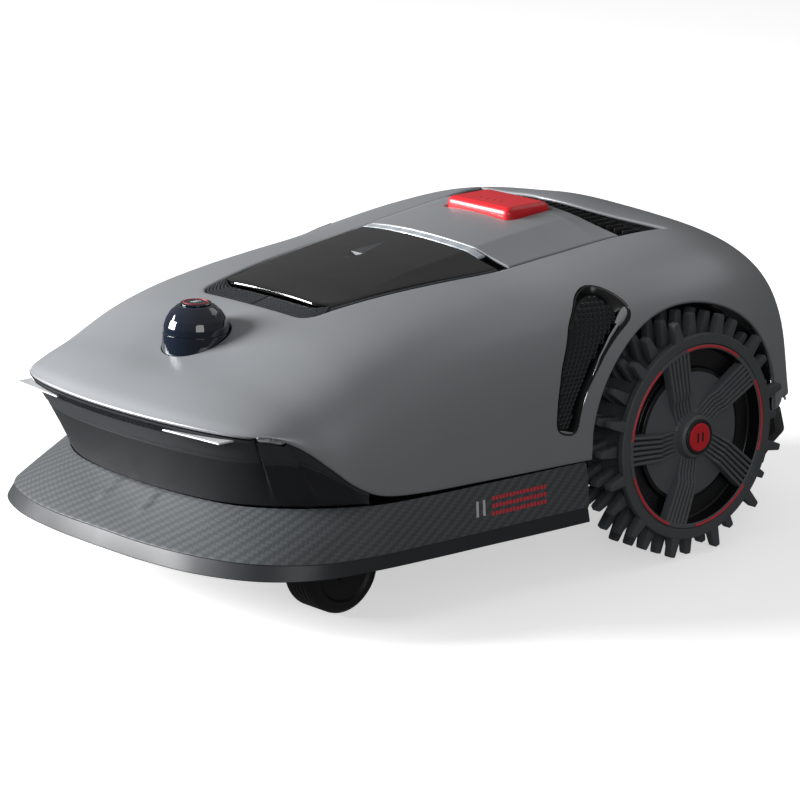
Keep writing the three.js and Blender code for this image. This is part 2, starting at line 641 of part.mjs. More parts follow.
// ---------------------------------------------------------------- charging contacts
// Flat plate with a straight front edge, tucked a little way under the cover's nose rim.
function chargingContact() {
  const { inner, outer, tuck, top, thick } = CONTACT;
  const steps = 6;
  const grid = (z) => range(steps + 1).map((i) => {
    const [x, front] = [0, 1].map((k) => mix(inner[k], outer[k], i / steps));
    return [vec(x, front, z), vec(x, noseRimY(x) + tuck, z)];
  });
  return gridSolid(grid(top), grid(top - thick));
}

// Forward reach of the cover's nose rim at a distance from the middle.
function noseRimY(x) {
  let [low, high] = [0, 1];
  for (const _ of range(30)) {
    const middle = (low + high) / 2;
    if (coverPoint(0, middle).x < x) low = middle;
    else high = middle;
  }
  return coverPoint(0, low).y;
}

// ---------------------------------------------------------------- wheels
// Gear-like outline of one row of lugs, as [along, up] points round the origin.
function lugRow(phase) {
  const { outer, root, lugs } = TYRE;
  return range(lugs).flatMap((i) => {
    const middle = phase + (i * 2 * Math.PI) / lugs;
    const at = (radius, mm) => {
      const angle = middle + mm / radius;
      return [radius * Math.cos(angle), radius * Math.sin(angle)];
    };
    const valley = middle + Math.PI / lugs;
    return [
      at(root, -6.5), at(outer, -3.2), at(outer, 3.2), at(root, 6.5),
      [root * Math.cos(valley), root * Math.sin(valley)],
    ];
  });
}

// Turned piece about the drive axle, from [radius, x] points.
const axleTurned = (profile, segments) => turned(profile, segments).rotateY(Math.PI / 2);

function tyre() {
  const { faceX, rowWide, rows, lugs, inner, root } = TYRE;
  const lugRows = range(rows).map((i) => sidePrism(
    lugRow(((i % 2 ? 0 : 0.5) * 2 * Math.PI) / lugs), faceX - (i + 1) * rowWide, faceX - i * rowWide,
  ));
  const bore = axleTurned([[0, 0], [inner, 0], [inner, 300], [0, 300]], 32);
  return cut(unite(...lugRows), bore);
}

const RIM_OUT = TYRE.inner - GAP;
function wheelRim() {
  const face = TYRE.faceX;
  const disc = axleTurned([
    [0, face - 49], [14, face - 49], [14, face - 40], [RIM_OUT, face - 40], [RIM_OUT, face - 1],
    [RIM_OUT - 4, face - 1], [RIM_OUT - 7, face - 14], [20, face - 14], [20, face - 5], [0, face - 5],
  ], 32);
  const spoke = (i) => sidePrism([[-9, 16], [9, 16], [10, 66], [-10, 66]], face - 14, face - 3)
    .rotateX((i * 2 * Math.PI) / 5 + 0.35);
  return unite(disc, ...range(5).map(spoke));
}
const hubCap = () => axleTurned([
  [0, 206.3], [15, 206.3], [15, 212], [13.5, 214], [0, 214],
], 24);

const AXLE_AT = [0, AXLE.y, AXLE.z];
const gearMotor = () => unite(
  axleTurned([[0, 84], [24, 84], [24, 146], [0, 146]], 28),
  axleTurned([[0, 140], [7, 140], [7, 158.7], [0, 158.7]], 20),
).translate(...AXLE_AT);

// ---------------------------------------------------------------- casters
function casterFork() {
  const { x, wheelY, stemY, wide, radius } = CASTER;
  const half = wide / 2;
  const profile = [
    [wheelY - 9, radius - 6], [wheelY + 8, radius - 6], [wheelY + 8, radius + 8],
    [stemY + 14, 78], [stemY - 12, 78],
  ];
  const cheek = (side) => sidePrism(
    profile, side > 0 ? half + 1.5 : -half - 5, side > 0 ? half + 5 : -half - 1.5,
  );
  const bridge = block(-half - 5, stemY - 12, 73, half + 5, stemY + 14, 79);
  const stem = drum(7.8, 74, 103, 0, stemY, 16);
  const pin = axleTurned([[0, -half - 4], [4, -half - 4], [4, half + 4], [0, half + 4]], 16)
    .translate(0, wheelY, radius);
  return unite(bridge, stem, cheek(1), cheek(-1), pin).translate(x, 0, 0);
}
function casterWheel() {
  const { x, wheelY, radius, wide } = CASTER;
  const half = wide / 2;
  return axleTurned([
    [4.4, -half], [radius - 4, -half], [radius, -half + 5], [radius, half - 5], [radius - 4, half],
    [4.4, half], [4.4, -half],
  ], 28).translate(x, wheelY, radius);
}

// ---------------------------------------------------------------- cutting unit
const heightGuide = () => turned([
  [33.5, DECK.roof + 4.3], [42, DECK.roof + 4.3], [42, DECK.roof + 8], [37, DECK.roof + 8], [37, 175],
  [33.5, 175], [33.5, DECK.roof + 4.3],
], 28).translate(0, DECK.y, 0);
const cuttingMotor = () => turned([
  [0, 66], [12, 66], [14, 88], [31, 90], [31, 150], [0, 150],
], 24).translate(0, DECK.y, 0);
function cuttingDisc() {
  const { radius, low, thick } = CUTTER;
  const dish = turned([
    [0, low], [radius, low], [radius, low + thick], [40, low + thick],
    [22, low + 12], [18, low + 19], [0, low + 19],
  ], 32).translate(0, DECK.y, 0);
  const screws = range(CUTTER.blades).map((i) => drum(3, low - 3.6, low + 1, ...bladePivot(i), 12));
  const heads = range(CUTTER.blades).map((i) => drum(5.5, low - 5, low - 3.5, ...bladePivot(i), 12));
  return unite(dish, ...screws, ...heads);
}
const bladePivot = (i) => {
  const angle = Math.PI / 2 + (i * 2 * Math.PI) / CUTTER.blades;
  return [CUTTER.bladeOrbit * Math.cos(angle), DECK.y + CUTTER.bladeOrbit * Math.sin(angle)];
};
function blade(i) {
  const outline = [[-6, -8], [-8, -4], [-8, 28], [-5, 32], [5, 32], [8, 28], [8, -4], [6, -8]];
  const [x, y] = bladePivot(i);
  const geometry = prism(outline, CUTTER.low - 3, CUTTER.low - 2, [circle(3.6, 12)]);
  return geometry.rotateZ((i * 2 * Math.PI) / CUTTER.blades).translate(x, y, 0);
}

// ---------------------------------------------------------------- electronics
const batteryPack = () => block(-72, 160, 48.4, 72, 262, 118);
const mainBoard = () => unite(
  block(-60, 30, DECK.roof + 8, 60, 104, DECK.roof + 9.8),
  block(-40, 45, DECK.roof + 9.6, -15, 70, DECK.roof + 12),
  block(5, 60, DECK.roof + 9.6, 35, 90, DECK.roof + 14),
  ...[[-54, 36], [54, 36], [-54, 98], [54, 98]].map(
    ([x, y]) => drum(3, DECK.roof + 4.3, DECK.roof + 8.2, x, y, 10),
  ),
);

// ---------------------------------------------------------------- assembly
const group = new THREE.Group();
function add(name, geometry, [color, roughness, metalness], position = [0, 0, 0]) {
  const mesh = new THREE.Mesh(geometry, new THREE.MeshStandardMaterial({ color, roughness, metalness }));
  mesh.name = name;
  mesh.position.set(...position);
  group.add(mesh);
}
const FINISH = {
  silver: [0x6e7276, 0.45, 0.5],
  dark: [0x38393b, 0.7, 0],
  carbon: [0x4a4c50, 0.5, 0.2],
  black: [0x1c1c1e, 0.6, 0],
  gloss: [0x141416, 0.1, 0],
  red: [0xf0323a, 0.4, 0],
  tyre: [0x2f3033, 0.75, 0],
  rim: [0x3a3c40, 0.5, 0.1],
  steel: [0xa8abae, 0.3, 1],
  board: [0x1f5a3a, 0.6, 0],
  light: [0x8d9195, 0.3, 0],
};

const ventHole = ventCutter(0);
add('top_cover', cut(topCover(), ventHole, mirrored(ventHole), lidarHole()), FINISH.silver);
add('nose_bumper', noseBumper(), FINISH.dark);
add('skirt', skirt(), FINISH.carbon);
add('rear_bumper', rearBumper(), FINISH.black);
add('front_chassis', frontChassis(), FINISH.black);
add('deck_housing', deckHousing(), FINISH.black);
add('rear_chassis', rearChassis(), FINISH.black);
add('canopy_lid', canopyLid(), FINISH.gloss);
add('grille_trim', grilleTrim(), FINISH.black);
add('status_light_strip', lightStrip(), FINISH.light);
add('centre_panel', centrePanel(), FINISH.silver);
add('rear_vent_grille', rearVentGrille(), FINISH.black);
add('stop_button', stopButton(), FINISH.red);
add('control_panel', controlPanel(), FINISH.dark);
add('display_screen', block(-30, -85, TRAY.floor + 4.3, 30, -55, TRAY.floor + 6), FINISH.gloss);
for (const [name, x, y] of BUTTONS) add(name, panelButton(x, y), FINISH.light);
add('lidar_base', lidarBase(), FINISH.gloss);
add('lidar_rotor', lidarRotor(), FINISH.dark);
add('lidar_dome', lidarDome(), FINISH.gloss);
add('lidar_cap', lidarCap(), FINISH.dark);
add('battery_pack', batteryPack(), FINISH.dark);
add('main_board', mainBoard(), FINISH.board);
add('cut_height_guide', heightGuide(), FINISH.dark);
add('cutting_motor', cuttingMotor(), FINISH.steel);
add('cutting_disc', cuttingDisc(), FINISH.steel);
for (const i of range(CUTTER.blades)) add(`blade_${i + 1}`, blade(i), FINISH.steel);

for (const [hand, turn] of [['left', (g) => g], ['right', mirrored]]) {
  const sign = hand === 'left' ? 1 : -1;
  add(`side_vent_bezel_${hand}`, turn(ventBezel()), FINISH.gloss);
  add(`side_vent_mesh_${hand}`, turn(ventMesh()), FINISH.black);
  add(`charging_contact_${hand}`, turn(chargingContact()), FINISH.steel);
  add(`wheel_liner_${hand}`, turn(wheelLiner()), FINISH.black);
  add(`tyre_${hand}`, turn(tyre()), FINISH.tyre, AXLE_AT);
  add(`wheel_rim_${hand}`, turn(wheelRim()), FINISH.rim, AXLE_AT);
  add(`hub_cap_${hand}`, turn(hubCap()), FINISH.red, AXLE_AT);
  add(`gear_motor_${hand}`, turn(gearMotor()), FINISH.steel);
  add(`caster_fork_${hand}`, turn(casterFork()), FINISH.black);
  add(`caster_wheel_${hand}`, turn(casterWheel()), FINISH.black);
}

export default group;
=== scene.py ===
# Robotic lawn mower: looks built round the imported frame. Metres, +Z up, front towards -Y.
import math
import bmesh
import bpy
import numpy as np
from mathutils import Matrix, Vector


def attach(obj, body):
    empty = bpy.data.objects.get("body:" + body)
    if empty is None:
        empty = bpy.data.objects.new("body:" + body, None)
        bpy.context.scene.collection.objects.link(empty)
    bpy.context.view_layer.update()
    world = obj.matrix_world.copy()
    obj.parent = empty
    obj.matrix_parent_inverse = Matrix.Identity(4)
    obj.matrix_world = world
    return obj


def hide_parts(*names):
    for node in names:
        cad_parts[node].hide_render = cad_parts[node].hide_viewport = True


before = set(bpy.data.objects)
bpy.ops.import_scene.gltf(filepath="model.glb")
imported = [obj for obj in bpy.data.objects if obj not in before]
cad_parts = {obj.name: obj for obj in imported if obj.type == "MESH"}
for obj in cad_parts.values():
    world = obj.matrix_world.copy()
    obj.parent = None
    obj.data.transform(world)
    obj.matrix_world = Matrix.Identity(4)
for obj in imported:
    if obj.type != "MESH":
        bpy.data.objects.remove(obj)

for spare in ("Cube", "Light", "Camera"):  # the start-up scene's own objects
    if spare in bpy.data.objects:
        bpy.data.objects.remove(bpy.data.objects[spare])
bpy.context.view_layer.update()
mm = 0.001


# small helpers: shapes
def mix(a, b, t):
    return a + (b - a) * t


def smooth(t):
    c = np.clip(t, 0, 1)
    return c * c * (3 - 2 * c)


def spline(keys, at):  # Catmull-Rom through equally spaced keys
    i = int(np.clip(math.floor(at), 0, len(keys) - 2))
    t = at - i
    b, c = np.array(keys[i], float), np.array(keys[i + 1], float)
    a = np.array(keys[i - 1], float) if i > 0 else 2 * b - c
    d = np.array(keys[i + 2], float) if i + 2 < len(keys) else 2 * c - b
    return b + 0.5 * t * (c - a + t * (2 * a - 5 * b + 4 * c - d + t * (3 * (b - c) + d - a)))


def railPoint(keys, f):  # f runs from 0 to 1 along the rail
    return spline(keys, f * (len(keys) - 1))


def finishMesh(name, mesh, body, materials, sharpDeg=32, replaces=()):
    piece = bpy.data.objects.new(name, mesh)
    bpy.context.scene.collection.objects.link(piece)
    for material in materials:
        if material.name not in mesh.materials:
            mesh.materials.append(material)
    mesh.polygons.foreach_set("use_smooth", [True] * len(mesh.polygons))
    mesh.set_sharp_from_angle(angle=math.radians(sharpDeg))
    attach(piece, body)
    if replaces:
        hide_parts(*replaces)
    return piece


def meshFrom(name, points, faces, slots=None, uvs=None):
    # points in millimetres; slots and uvs are per face
    mesh = bpy.data.meshes.new(name)
    mesh.from_pydata([tuple(float(x) * mm for x in p) for p in points], [], faces)
    if slots is not None:
        mesh.polygons.foreach_set("material_index", slots)
    if uvs is not None:
        layer = mesh.uv_layers.new(name="flat")
        for polygon, corners in zip(mesh.polygons, uvs):
            for loop, uv in zip(polygon.loop_indices, corners):
                layer.data[loop].uv = uv
    bm = bmesh.new()
    bm.from_mesh(mesh)
    bmesh.ops.remove_doubles(bm, verts=bm.verts, dist=1e-6)
    bmesh.ops.recalc_face_normals(bm, faces=bm.faces)
    bm.to_mesh(mesh)
    bm.free()
    return mesh


def gridNormals(grid, loop=False):
    # outward normals of a grid of skin points, by differences along both ways
    rows = np.roll(grid, -1, 0) - np.roll(grid, 1, 0) if loop else np.gradient(grid, axis=0)
    columns = np.gradient(grid, axis=1)
    normals = np.cross(rows, columns)
    return normals / np.maximum(np.linalg.norm(normals, axis=2, keepdims=True), 1e-9)


def stitch(name, rings, loop=False, slotOf=None, caps=False, uvOf=None):
    # skin a row of closed sections with equal point counts
    size = len(rings[0])
    assert all(len(ring) == size for ring in rings), name
    count = len(rings)
    points = [p for ring in rings for p in ring]
    faces, slots, uvs = [], [], []
    for r in range(count if loop else count - 1):
        for i in range(size):
            a, b = r * size + i, r * size + (i + 1) % size
            c, d = ((r + 1) % count) * size + (i + 1) % size, ((r + 1) % count) * size + i
            faces.append((a, b, c, d))
            slots.append(slotOf(r, i) if slotOf else 0)
            if uvOf:
                uvs.append([uvOf(r, i), uvOf(r, i + 1), uvOf(r + 1, i + 1), uvOf(r + 1, i)])
    if caps:
        for base in (0, (count - 1) * size):
            faces.append(tuple(base + i for i in range(size)))
            slots.append(0)
            if uvOf:
                uvs.append([(0, 0)] * size)
    return meshFrom(name, points, faces, slots, uvs if uvOf else None)


def spin(name, profile, steps=64, axis="Z", centre=(0, 0, 0), slotOf=None):
    # turned piece from [radius, height] points; its ends may lie on the axis
    rings = []
    for k in range(steps):
        angle = 2 * math.pi * k / steps
        c, s = math.cos(angle), math.sin(angle)
        if axis == "Z":
            rings.append([(centre[0] + r * c, centre[1] + r * s, centre[2] + h) for r, h in profile])
        else:
            rings.append([(centre[0] + h, centre[1] + r * c, centre[2] + r * s) for r, h in profile])
    size = len(profile)
    points = [p for ring in rings for p in ring]
    faces, slots = [], []
    closed = profile[0] == profile[-1]
    for k in range(steps):
        for i in range(size - 1):
            a, b = k * size + i, k * size + i + 1
            c, d = ((k + 1) % steps) * size + i + 1, ((k + 1) % steps) * size + i
            quad = [a, b, c, d]
            if profile[i][0] == 0:
                quad = [a, b, c]
            elif profile[i + 1][0] == 0:
                quad = [a, b, d]
            faces.append(tuple(quad))
            slots.append(slotOf(i) if slotOf else 0)
    return meshFrom(name, points, faces, slots)


def fillet(corners, radius, steps=4, closed=False):
    # outline with its corners rounded; corners are 2-D points, radius one number or one each
    out = []
    count = len(corners)
    for i, p in enumerate(corners):
        r = radius[i] if isinstance(radius, (list, tuple)) else radius
        if (not closed and i in (0, count - 1)) or r <= 0:
            out.append(tuple(map(float, p)))
            continue
        a, b = np.array(corners[i - 1], float), np.array(corners[(i + 1) % count], float)
        p = np.array(p, float)
        u, v = (a - p), (b - p)
        lu, lv = np.linalg.norm(u), np.linalg.norm(v)
        u, v = u / lu, v / lv
        half = math.acos(np.clip(u @ v, -1, 1)) / 2
        cutBack = min(r / math.tan(half), 0.45 * lu, 0.45 * lv)
        q0, q1 = p + u * cutBack, p + v * cutBack
        for k in range(steps + 1):
            t = k / steps
            out.append(tuple((1 - t) ** 2 * q0 + 2 * t * (1 - t) * p + t * t * q1))
    return out


def extrude(name, outline, low, high, axis="Z", bevel=0.0):
    # flat outline (mm) pushed along an axis, with softened edges
    def place(p, h):
        return (p[0], p[1], h) if axis == "Z" else (h, p[0], p[1])

    bm = bmesh.new()
    bm.faces.new([bm.verts.new([c * mm for c in place(p, low)]) for p in outline])
    made = bmesh.ops.extrude_face_region(bm, geom=list(bm.faces))
    shift = Vector(place((0, 0), high - low)) * mm
    raised = [v for v in made["geom"] if isinstance(v, bmesh.types.BMVert)]
    bmesh.ops.translate(bm, vec=shift, verts=raised)
    bmesh.ops.recalc_face_normals(bm, faces=bm.faces)
    if bevel:
        rims = [e for e in bm.edges if len(e.link_faces) == 2 and e.calc_face_angle() > math.radians(50)]
        bmesh.ops.bevel(bm, geom=rims, offset=bevel * mm, segments=2, affect="EDGES", profile=0.5,
                        clamp_overlap=True)
    mesh = bpy.data.meshes.new(name)
    bm.to_mesh(mesh)
    bm.free()
    return mesh


def join(name, *meshes):
    # one mesh from several, keeping material slots by index
    bm = bmesh.new()
    for mesh in meshes:
        bm.from_mesh(mesh)
    joined = bpy.data.meshes.new(name)
    bm.to_mesh(joined)
    bm.free()
    return joined


def moved(mesh, matrix):
    mesh.transform(matrix)
    if matrix.determinant() < 0:
        mesh.flip_normals()
    return mesh


def mirrorCopy(mesh):
    return moved(mesh.copy(), Matrix.Scale(-1, 4, (1, 0, 0)))


def finishPairs(body, looks):
    # pieces of the left side and their mirror images; {} in a name stands for the hand
    for hand in ("left", "right"):
        for name, mesh, materials, sharpDeg, replaces, slot in looks:
            look = mesh.copy() if hand == "left" else mirrorCopy(mesh)
            finishMesh(f"{name}_{hand}", look, body.format(hand), materials, sharpDeg,
                       [node.format(hand) for node in replaces])


def cutWith(mesh, cutters, name, operation="DIFFERENCE"):
    # boolean by a temporary modifier, taken back to a plain mesh
    piece = bpy.data.objects.new(name, mesh)
    bpy.context.scene.collection.objects.link(piece)
    helpers = []
    for cutter in cutters:
        helper = bpy.data.objects.new("cutter", cutter)
        bpy.context.scene.collection.objects.link(helper)
        modifier = piece.modifiers.new("cut", "BOOLEAN")
        modifier.operation = operation
        modifier.solver = "MANIFOLD"
        modifier.object = helper
        helpers.append(helper)
    graph = bpy.context.evaluated_depsgraph_get()
    result = bpy.data.meshes.new_from_object(piece.evaluated_get(graph), depsgraph=graph)
    result.materials.clear()
    for spare in [piece, *helpers]:
        bpy.data.objects.remove(spare)
    return result


# small helpers: materials
def linear(hexColour):  # sRGB hex to linear rgba
    parts = [int(hexColour[i:i + 2], 16) / 255 for i in (1, 3, 5)]
    return (*[c / 12.92 if c <= 0.04045 else ((c + 0.055) / 1.055) ** 2.4 for c in parts], 1)


def addNode(tree, kind, settings=None, links=None):
    node = tree.nodes.new(kind)
    for key, value in (settings or {}).items():
        if isinstance(key, str) and hasattr(node, key):
            setattr(node, key, value)
        else:
            node.inputs[key].default_value = value
    for key, source in (links or {}).items():
        if isinstance(source, (int, float)):
            node.inputs[key].default_value = source
        else:
            tree.links.new(source, node.inputs[key])
    return node


def startMaterial(name, colour, rough, metallic=0.0, ior=1.5, coat=0.0, coatRough=0.05):
    material = bpy.data.materials.new(name)
    material.use_nodes = True
    tree = material.node_tree
    shader = tree.nodes["Principled BSDF"]
    shader.inputs["Base Color"].default_value = linear(colour)
    shader.inputs["Roughness"].default_value = rough
    shader.inputs["Metallic"].default_value = metallic
    if not metallic:
        shader.inputs["IOR"].default_value = ior
    shader.inputs["Coat Weight"].default_value = coat
    shader.inputs["Coat Roughness"].default_value = coatRough
    place = addNode(tree, "ShaderNodeTexCoord").outputs["Object"]
    return material, tree, shader, place


def grainMaterial(name, colour, tint, rough, spread, grain, bump, cloud=60.0, **more):
    # base colour clouded towards a tint over `cloud` mm, grain of that many mm in bump and gloss
    material, tree, shader, place = startMaterial(name, colour, rough, **more)
    wide = addNode(tree, "ShaderNodeTexNoise", {"Scale": 1 / (cloud * mm), "Detail": 3.0},
                   {"Vector": place})
    fine = addNode(tree, "ShaderNodeTexNoise", {"Scale": 1 / (grain * mm), "Detail": 2.0},
                   {"Vector": place})
    shade = addNode(tree, "ShaderNodeMix", {"data_type": "RGBA", 6: linear(colour), 7: linear(tint)},
                    {0: wide.outputs["Fac"]})
    tree.links.new(shade.outputs[2], shader.inputs["Base Color"])
    gloss = addNode(tree, "ShaderNodeMapRange", {"To Min": rough - spread, "To Max": rough + spread},
                    {"Value": fine.outputs["Fac"]})
    tree.links.new(gloss.outputs[0], shader.inputs["Roughness"])
    raised = addNode(tree, "ShaderNodeBump", {"Strength": 0.5, "Distance": bump * mm},
                     {"Height": fine.outputs["Fac"]})
    tree.links.new(raised.outputs[0], shader.inputs["Normal"])
    return material


def twillMaterial(name, tow=2.7, ripple=14.0):
    # carbon-look moulding: a 2/2 twill of tows `tow` mm wide printed under clear satin, from the UVs;
    # dark and light tows step along the diagonal and the surface stays smooth
    material, tree, shader, _ = startMaterial(name, "#4a4d50", 0.42, coat=0.12, coatRough=0.35)
    flat = addNode(tree, "ShaderNodeUVMap", {"uv_map": "flat"}).outputs[0]
    split = addNode(tree, "ShaderNodeSeparateXYZ", links={0: flat})
    made = {"u": split.outputs[0], "v": split.outputs[1]}
    steps = [("across", "DIVIDE", "u", tow), ("along", "DIVIDE", "v", tow), ("column", "FLOOR", "across"),
             ("row", "FLOOR", "along"), ("cell", "ADD", "column", "row"),
             ("phase", "FLOORED_MODULO", "cell", 4.0), ("over", "LESS_THAN", "phase", 1.5)]
    for way, place, crown, thread in (("u", "across", "crownU", "threadU"),
                                      ("v", "along", "crownV", "threadV")):
        steps += [("part", "FRACT", place), ("turn", "MULTIPLY", "part", math.pi), (crown, "SINE", "turn"),
                  ("fine", "MULTIPLY", way, ripple), (thread, "SINE", "fine")]
    # each tow is lighter along its crown: a painted highlight of the rounded tow, over the printed dark and
    # light tows
    steps += [("height", "MIX", "over", "crownU", "crownV"),
              ("thread", "MIX", "over", "threadU", "threadV"),
              ("overTone", "MULTIPLY", "over", 0.5), ("crownHighlight", "MULTIPLY", "height", 0.3),
              ("threadTone", "MULTIPLY", "thread", 0.05), ("broad", "ADD", "overTone", "crownHighlight"),
              ("tone", "ADD", "broad", "threadTone")]
    for title, operation, *operands in steps:
        sources = [made.get(value, value) for value in operands]
        if operation == "MIX":
            node = addNode(tree, "ShaderNodeMix", links=dict(zip((0, 2, 3), sources)))
        else:
            node = addNode(tree, "ShaderNodeMath", {"operation": operation}, dict(enumerate(sources)))
        made[title] = node.outputs[0]
    shade = addNode(tree, "ShaderNodeMix",
                    {"data_type": "RGBA", 6: linear("#44474a"), 7: linear("#5f6366")},
                    {0: made["tone"]})
    tree.links.new(shade.outputs[2], shader.inputs["Base Color"])
    raised = addNode(tree, "ShaderNodeBump", {"Strength": 0.3, "Distance": 0.18 * mm},
                     {"Height": made["height"]})
    tree.links.new(raised.outputs[0], shader.inputs["Normal"])
    return material


wavePhase = 6.3  # a wave texture runs through this many units of scale in one band


def turnedSteelMaterial(name):
    # machined steel: fine turning rings and a slight smear in the gloss
    material, tree, shader, place = startMaterial(name, "#a9abad", 0.34, metallic=1.0)
    ring = addNode(tree, "ShaderNodeTexWave", {
        "wave_type": "RINGS", "rings_direction": "Z", "Scale": 1 / (1.2 * mm) / wavePhase,
        "Distortion": 0.4},
        {"Vector": place})
    smear = addNode(tree, "ShaderNodeTexNoise", {"Scale": 90.0, "Detail": 4.0}, {"Vector": place})
    gloss = addNode(tree, "ShaderNodeMapRange", {"To Min": 0.24, "To Max": 0.46},
                    {"Value": smear.outputs["Fac"]})
    tree.links.new(gloss.outputs[0], shader.inputs["Roughness"])
    raised = addNode(tree, "ShaderNodeBump", {"Strength": 0.2, "Distance": 0.05 * mm},
                     {"Height": ring.outputs["Fac"]})
    tree.links.new(raised.outputs[0], shader.inputs["Normal"])
    return material


def stripMaterial(name, glow=0.04):
    # translucent polycarbonate light guide: milky, lit a little from behind through a row of lamps
    material, tree, shader, place = startMaterial(name, "#b9c0c6", 0.28, coat=0.4)
    lamp = addNode(tree, "ShaderNodeTexWave", {"bands_direction": "X", "Scale": 1 / (9 * mm) / wavePhase},
                   {"Vector": place})
    shade = addNode(tree, "ShaderNodeMix",
                    {"data_type": "RGBA", 6: linear("#aab2b9"), 7: linear("#c3c9cf")},
                    {0: lamp.outputs["Fac"]})
    tree.links.new(shade.outputs[2], shader.inputs["Base Color"])
    shader.inputs["Emission Color"].default_value = linear("#c8d2da")
    shader.inputs["Emission Strength"].default_value = glow
    return material


def boardMaterial(name):
    # solder-masked circuit board: fine copper tracks under green lacquer
    material, tree, shader, place = startMaterial(name, "#1d5638", 0.35, coat=0.3)
    track = addNode(tree, "ShaderNodeTexBrick", {"Scale": 1 / (14 * mm), "Mortar Size": 0.03,
                                                 "Color1": linear("#1d5638"), "Color2": linear("#1a4d33"),
                                                 "Mortar": linear("#3f7f57")}, {"Vector": place})
    tree.links.new(track.outputs["Color"], shader.inputs["Base Color"])
    return material


# painted ABS with a fine aluminium flake: satin, clouded very slightly, near-invisible flake grain
silverPaint = grainMaterial("satin_silver_paint", "#989b9f", "#9da0a4", 0.40, 0.04, 0.5, 0.015,
                            metallic=0.35, coat=0.15, coatRough=0.3)
# moulded polypropylene: mid sheen with a 0.7 mm spark-eroded grain
bandPlastic = grainMaterial("moulded_grey_plastic", "#3d3f42", "#393b3e", 0.55, 0.05, 0.7, 0.05)
darkPlastic = grainMaterial("moulded_dark_plastic", "#242528", "#202124", 0.55, 0.06, 0.7, 0.05)
# the same family with a polished edge
lipPlastic = grainMaterial("smooth_dark_lip", "#34363a", "#303236", 0.38, 0.04, 0.9, 0.02)
# smooth moulded nylon with a graphite sheen, so the small cells catch light on their edges
cellPlastic = grainMaterial("satin_graphite_mesh", "#4c5054", "#44484c", 0.34, 0.05, 0.8, 0.01,
                            metallic=0.3)
# satin black ABS: soft highlights along the bezel
bezelBlack = grainMaterial("satin_black_bezel", "#101113", "#141517", 0.24, 0.04, 1.4, 0.004)
# near-black nylon, a little polished, laid in as painted shade: the slot under the hood's rim and the
# wheel's deep well; it still shows a gloss
recessShadePlastic = grainMaterial("polished_recess_shade_nylon", "#17181b", "#131417", 0.28, 0.04, 1.2, 0.01)
# black polypropylene straight from a textured mould: dull
blackPlastic = grainMaterial("black_polypropylene", "#17181a", "#131416", 0.6, 0.06, 0.8, 0.06)
# polished polycarbonate lid: near black, clear coat, dust-fine haze
glossBlack = grainMaterial("polished_black_polycarbonate", "#0b0c0d", "#0e0f10", 0.09, 0.02, 1.6, 0.002,
                           ior=1.58, coat=0.6, coatRough=0.03)
# infrared-clear polycarbonate: looks blue-black and reflects sharply
domeBlack = grainMaterial("blue_black_ir_polycarbonate", "#0f1724", "#121c2c", 0.07, 0.02, 1.8, 0.002,
                          ior=1.58, coat=0.8, coatRough=0.02)
# coloured ABS with a soft shine, and the ink printed on rim and skirt
redPlastic = grainMaterial("moulded_red_abs", "#ea2530", "#e0202b", 0.36, 0.04, 0.8, 0.02, coat=0.2,
                           coatRough=0.2)
redPaint = grainMaterial("printed_red_ink", "#e8414b", "#dc3a44", 0.4, 0.04, 0.6, 0.01)
# natural-rubber compound: dusty charcoal with a coarse 1 mm skin
tyreRubber = grainMaterial("tyre_rubber", "#595c60", "#505357", 0.62, 0.07, 1.0, 0.12)
# glass-filled nylon: a slightly fibrous grey skin
rimPlastic = grainMaterial("glass_filled_nylon", "#64676b", "#5c5f63", 0.46, 0.05, 0.8, 0.04)
# smoother, blacker rubber of the casters
casterRubber = grainMaterial("caster_rubber", "#161718", "#101112", 0.5, 0.05, 0.9, 0.05)
# bright chrome for the slim trim bars; the contact plates look satin, and their near-white colour, paler
# than bare nickel, is partly a painted reflection of the bright surroundings
chrome = grainMaterial("bright_chrome", "#d6d9dc", "#cfd2d6", 0.12, 0.03, 2.0, 0.002, metallic=1.0)
nickelPaintedReflection = grainMaterial("nickel_contact_painted_reflection", "#e0e2e4", "#d8dadd", 0.34, 0.05, 1.5, 0.01, metallic=0.3)
# plain moulded greys: button surround, silicone keys, display, battery case
ringGrey = grainMaterial("light_grey_abs", "#8d9093", "#888b8e", 0.42, 0.04, 0.8, 0.02)
buttonGrey = grainMaterial("grey_silicone_key", "#7e8286", "#787c80", 0.6, 0.05, 0.8, 0.03)
screenGlass = grainMaterial("display_window", "#0a1214", "#0c171a", 0.06, 0.02, 2.0, 0.001, coat=0.8)
batteryWrap = grainMaterial("battery_case_abs", "#26282b", "#212326", 0.5, 0.05, 0.8, 0.04)
# pad-printed marks: thin, flat and slightly uneven
dullRed = grainMaterial("pad_printed_dull_red", "#b0353c", "#a83138", 0.45, 0.05, 0.6, 0.01)
markWhite = grainMaterial("pad_printed_white", "#d9dadb", "#d2d3d4", 0.45, 0.05, 0.6, 0.01)
carbonTwill = twillMaterial("carbon_look_twill")
steel = turnedSteelMaterial("machined_steel")
lightGuide = stripMaterial("milky_light_guide")
circuitBoard = boardMaterial("circuit_board")
print("materials ready")


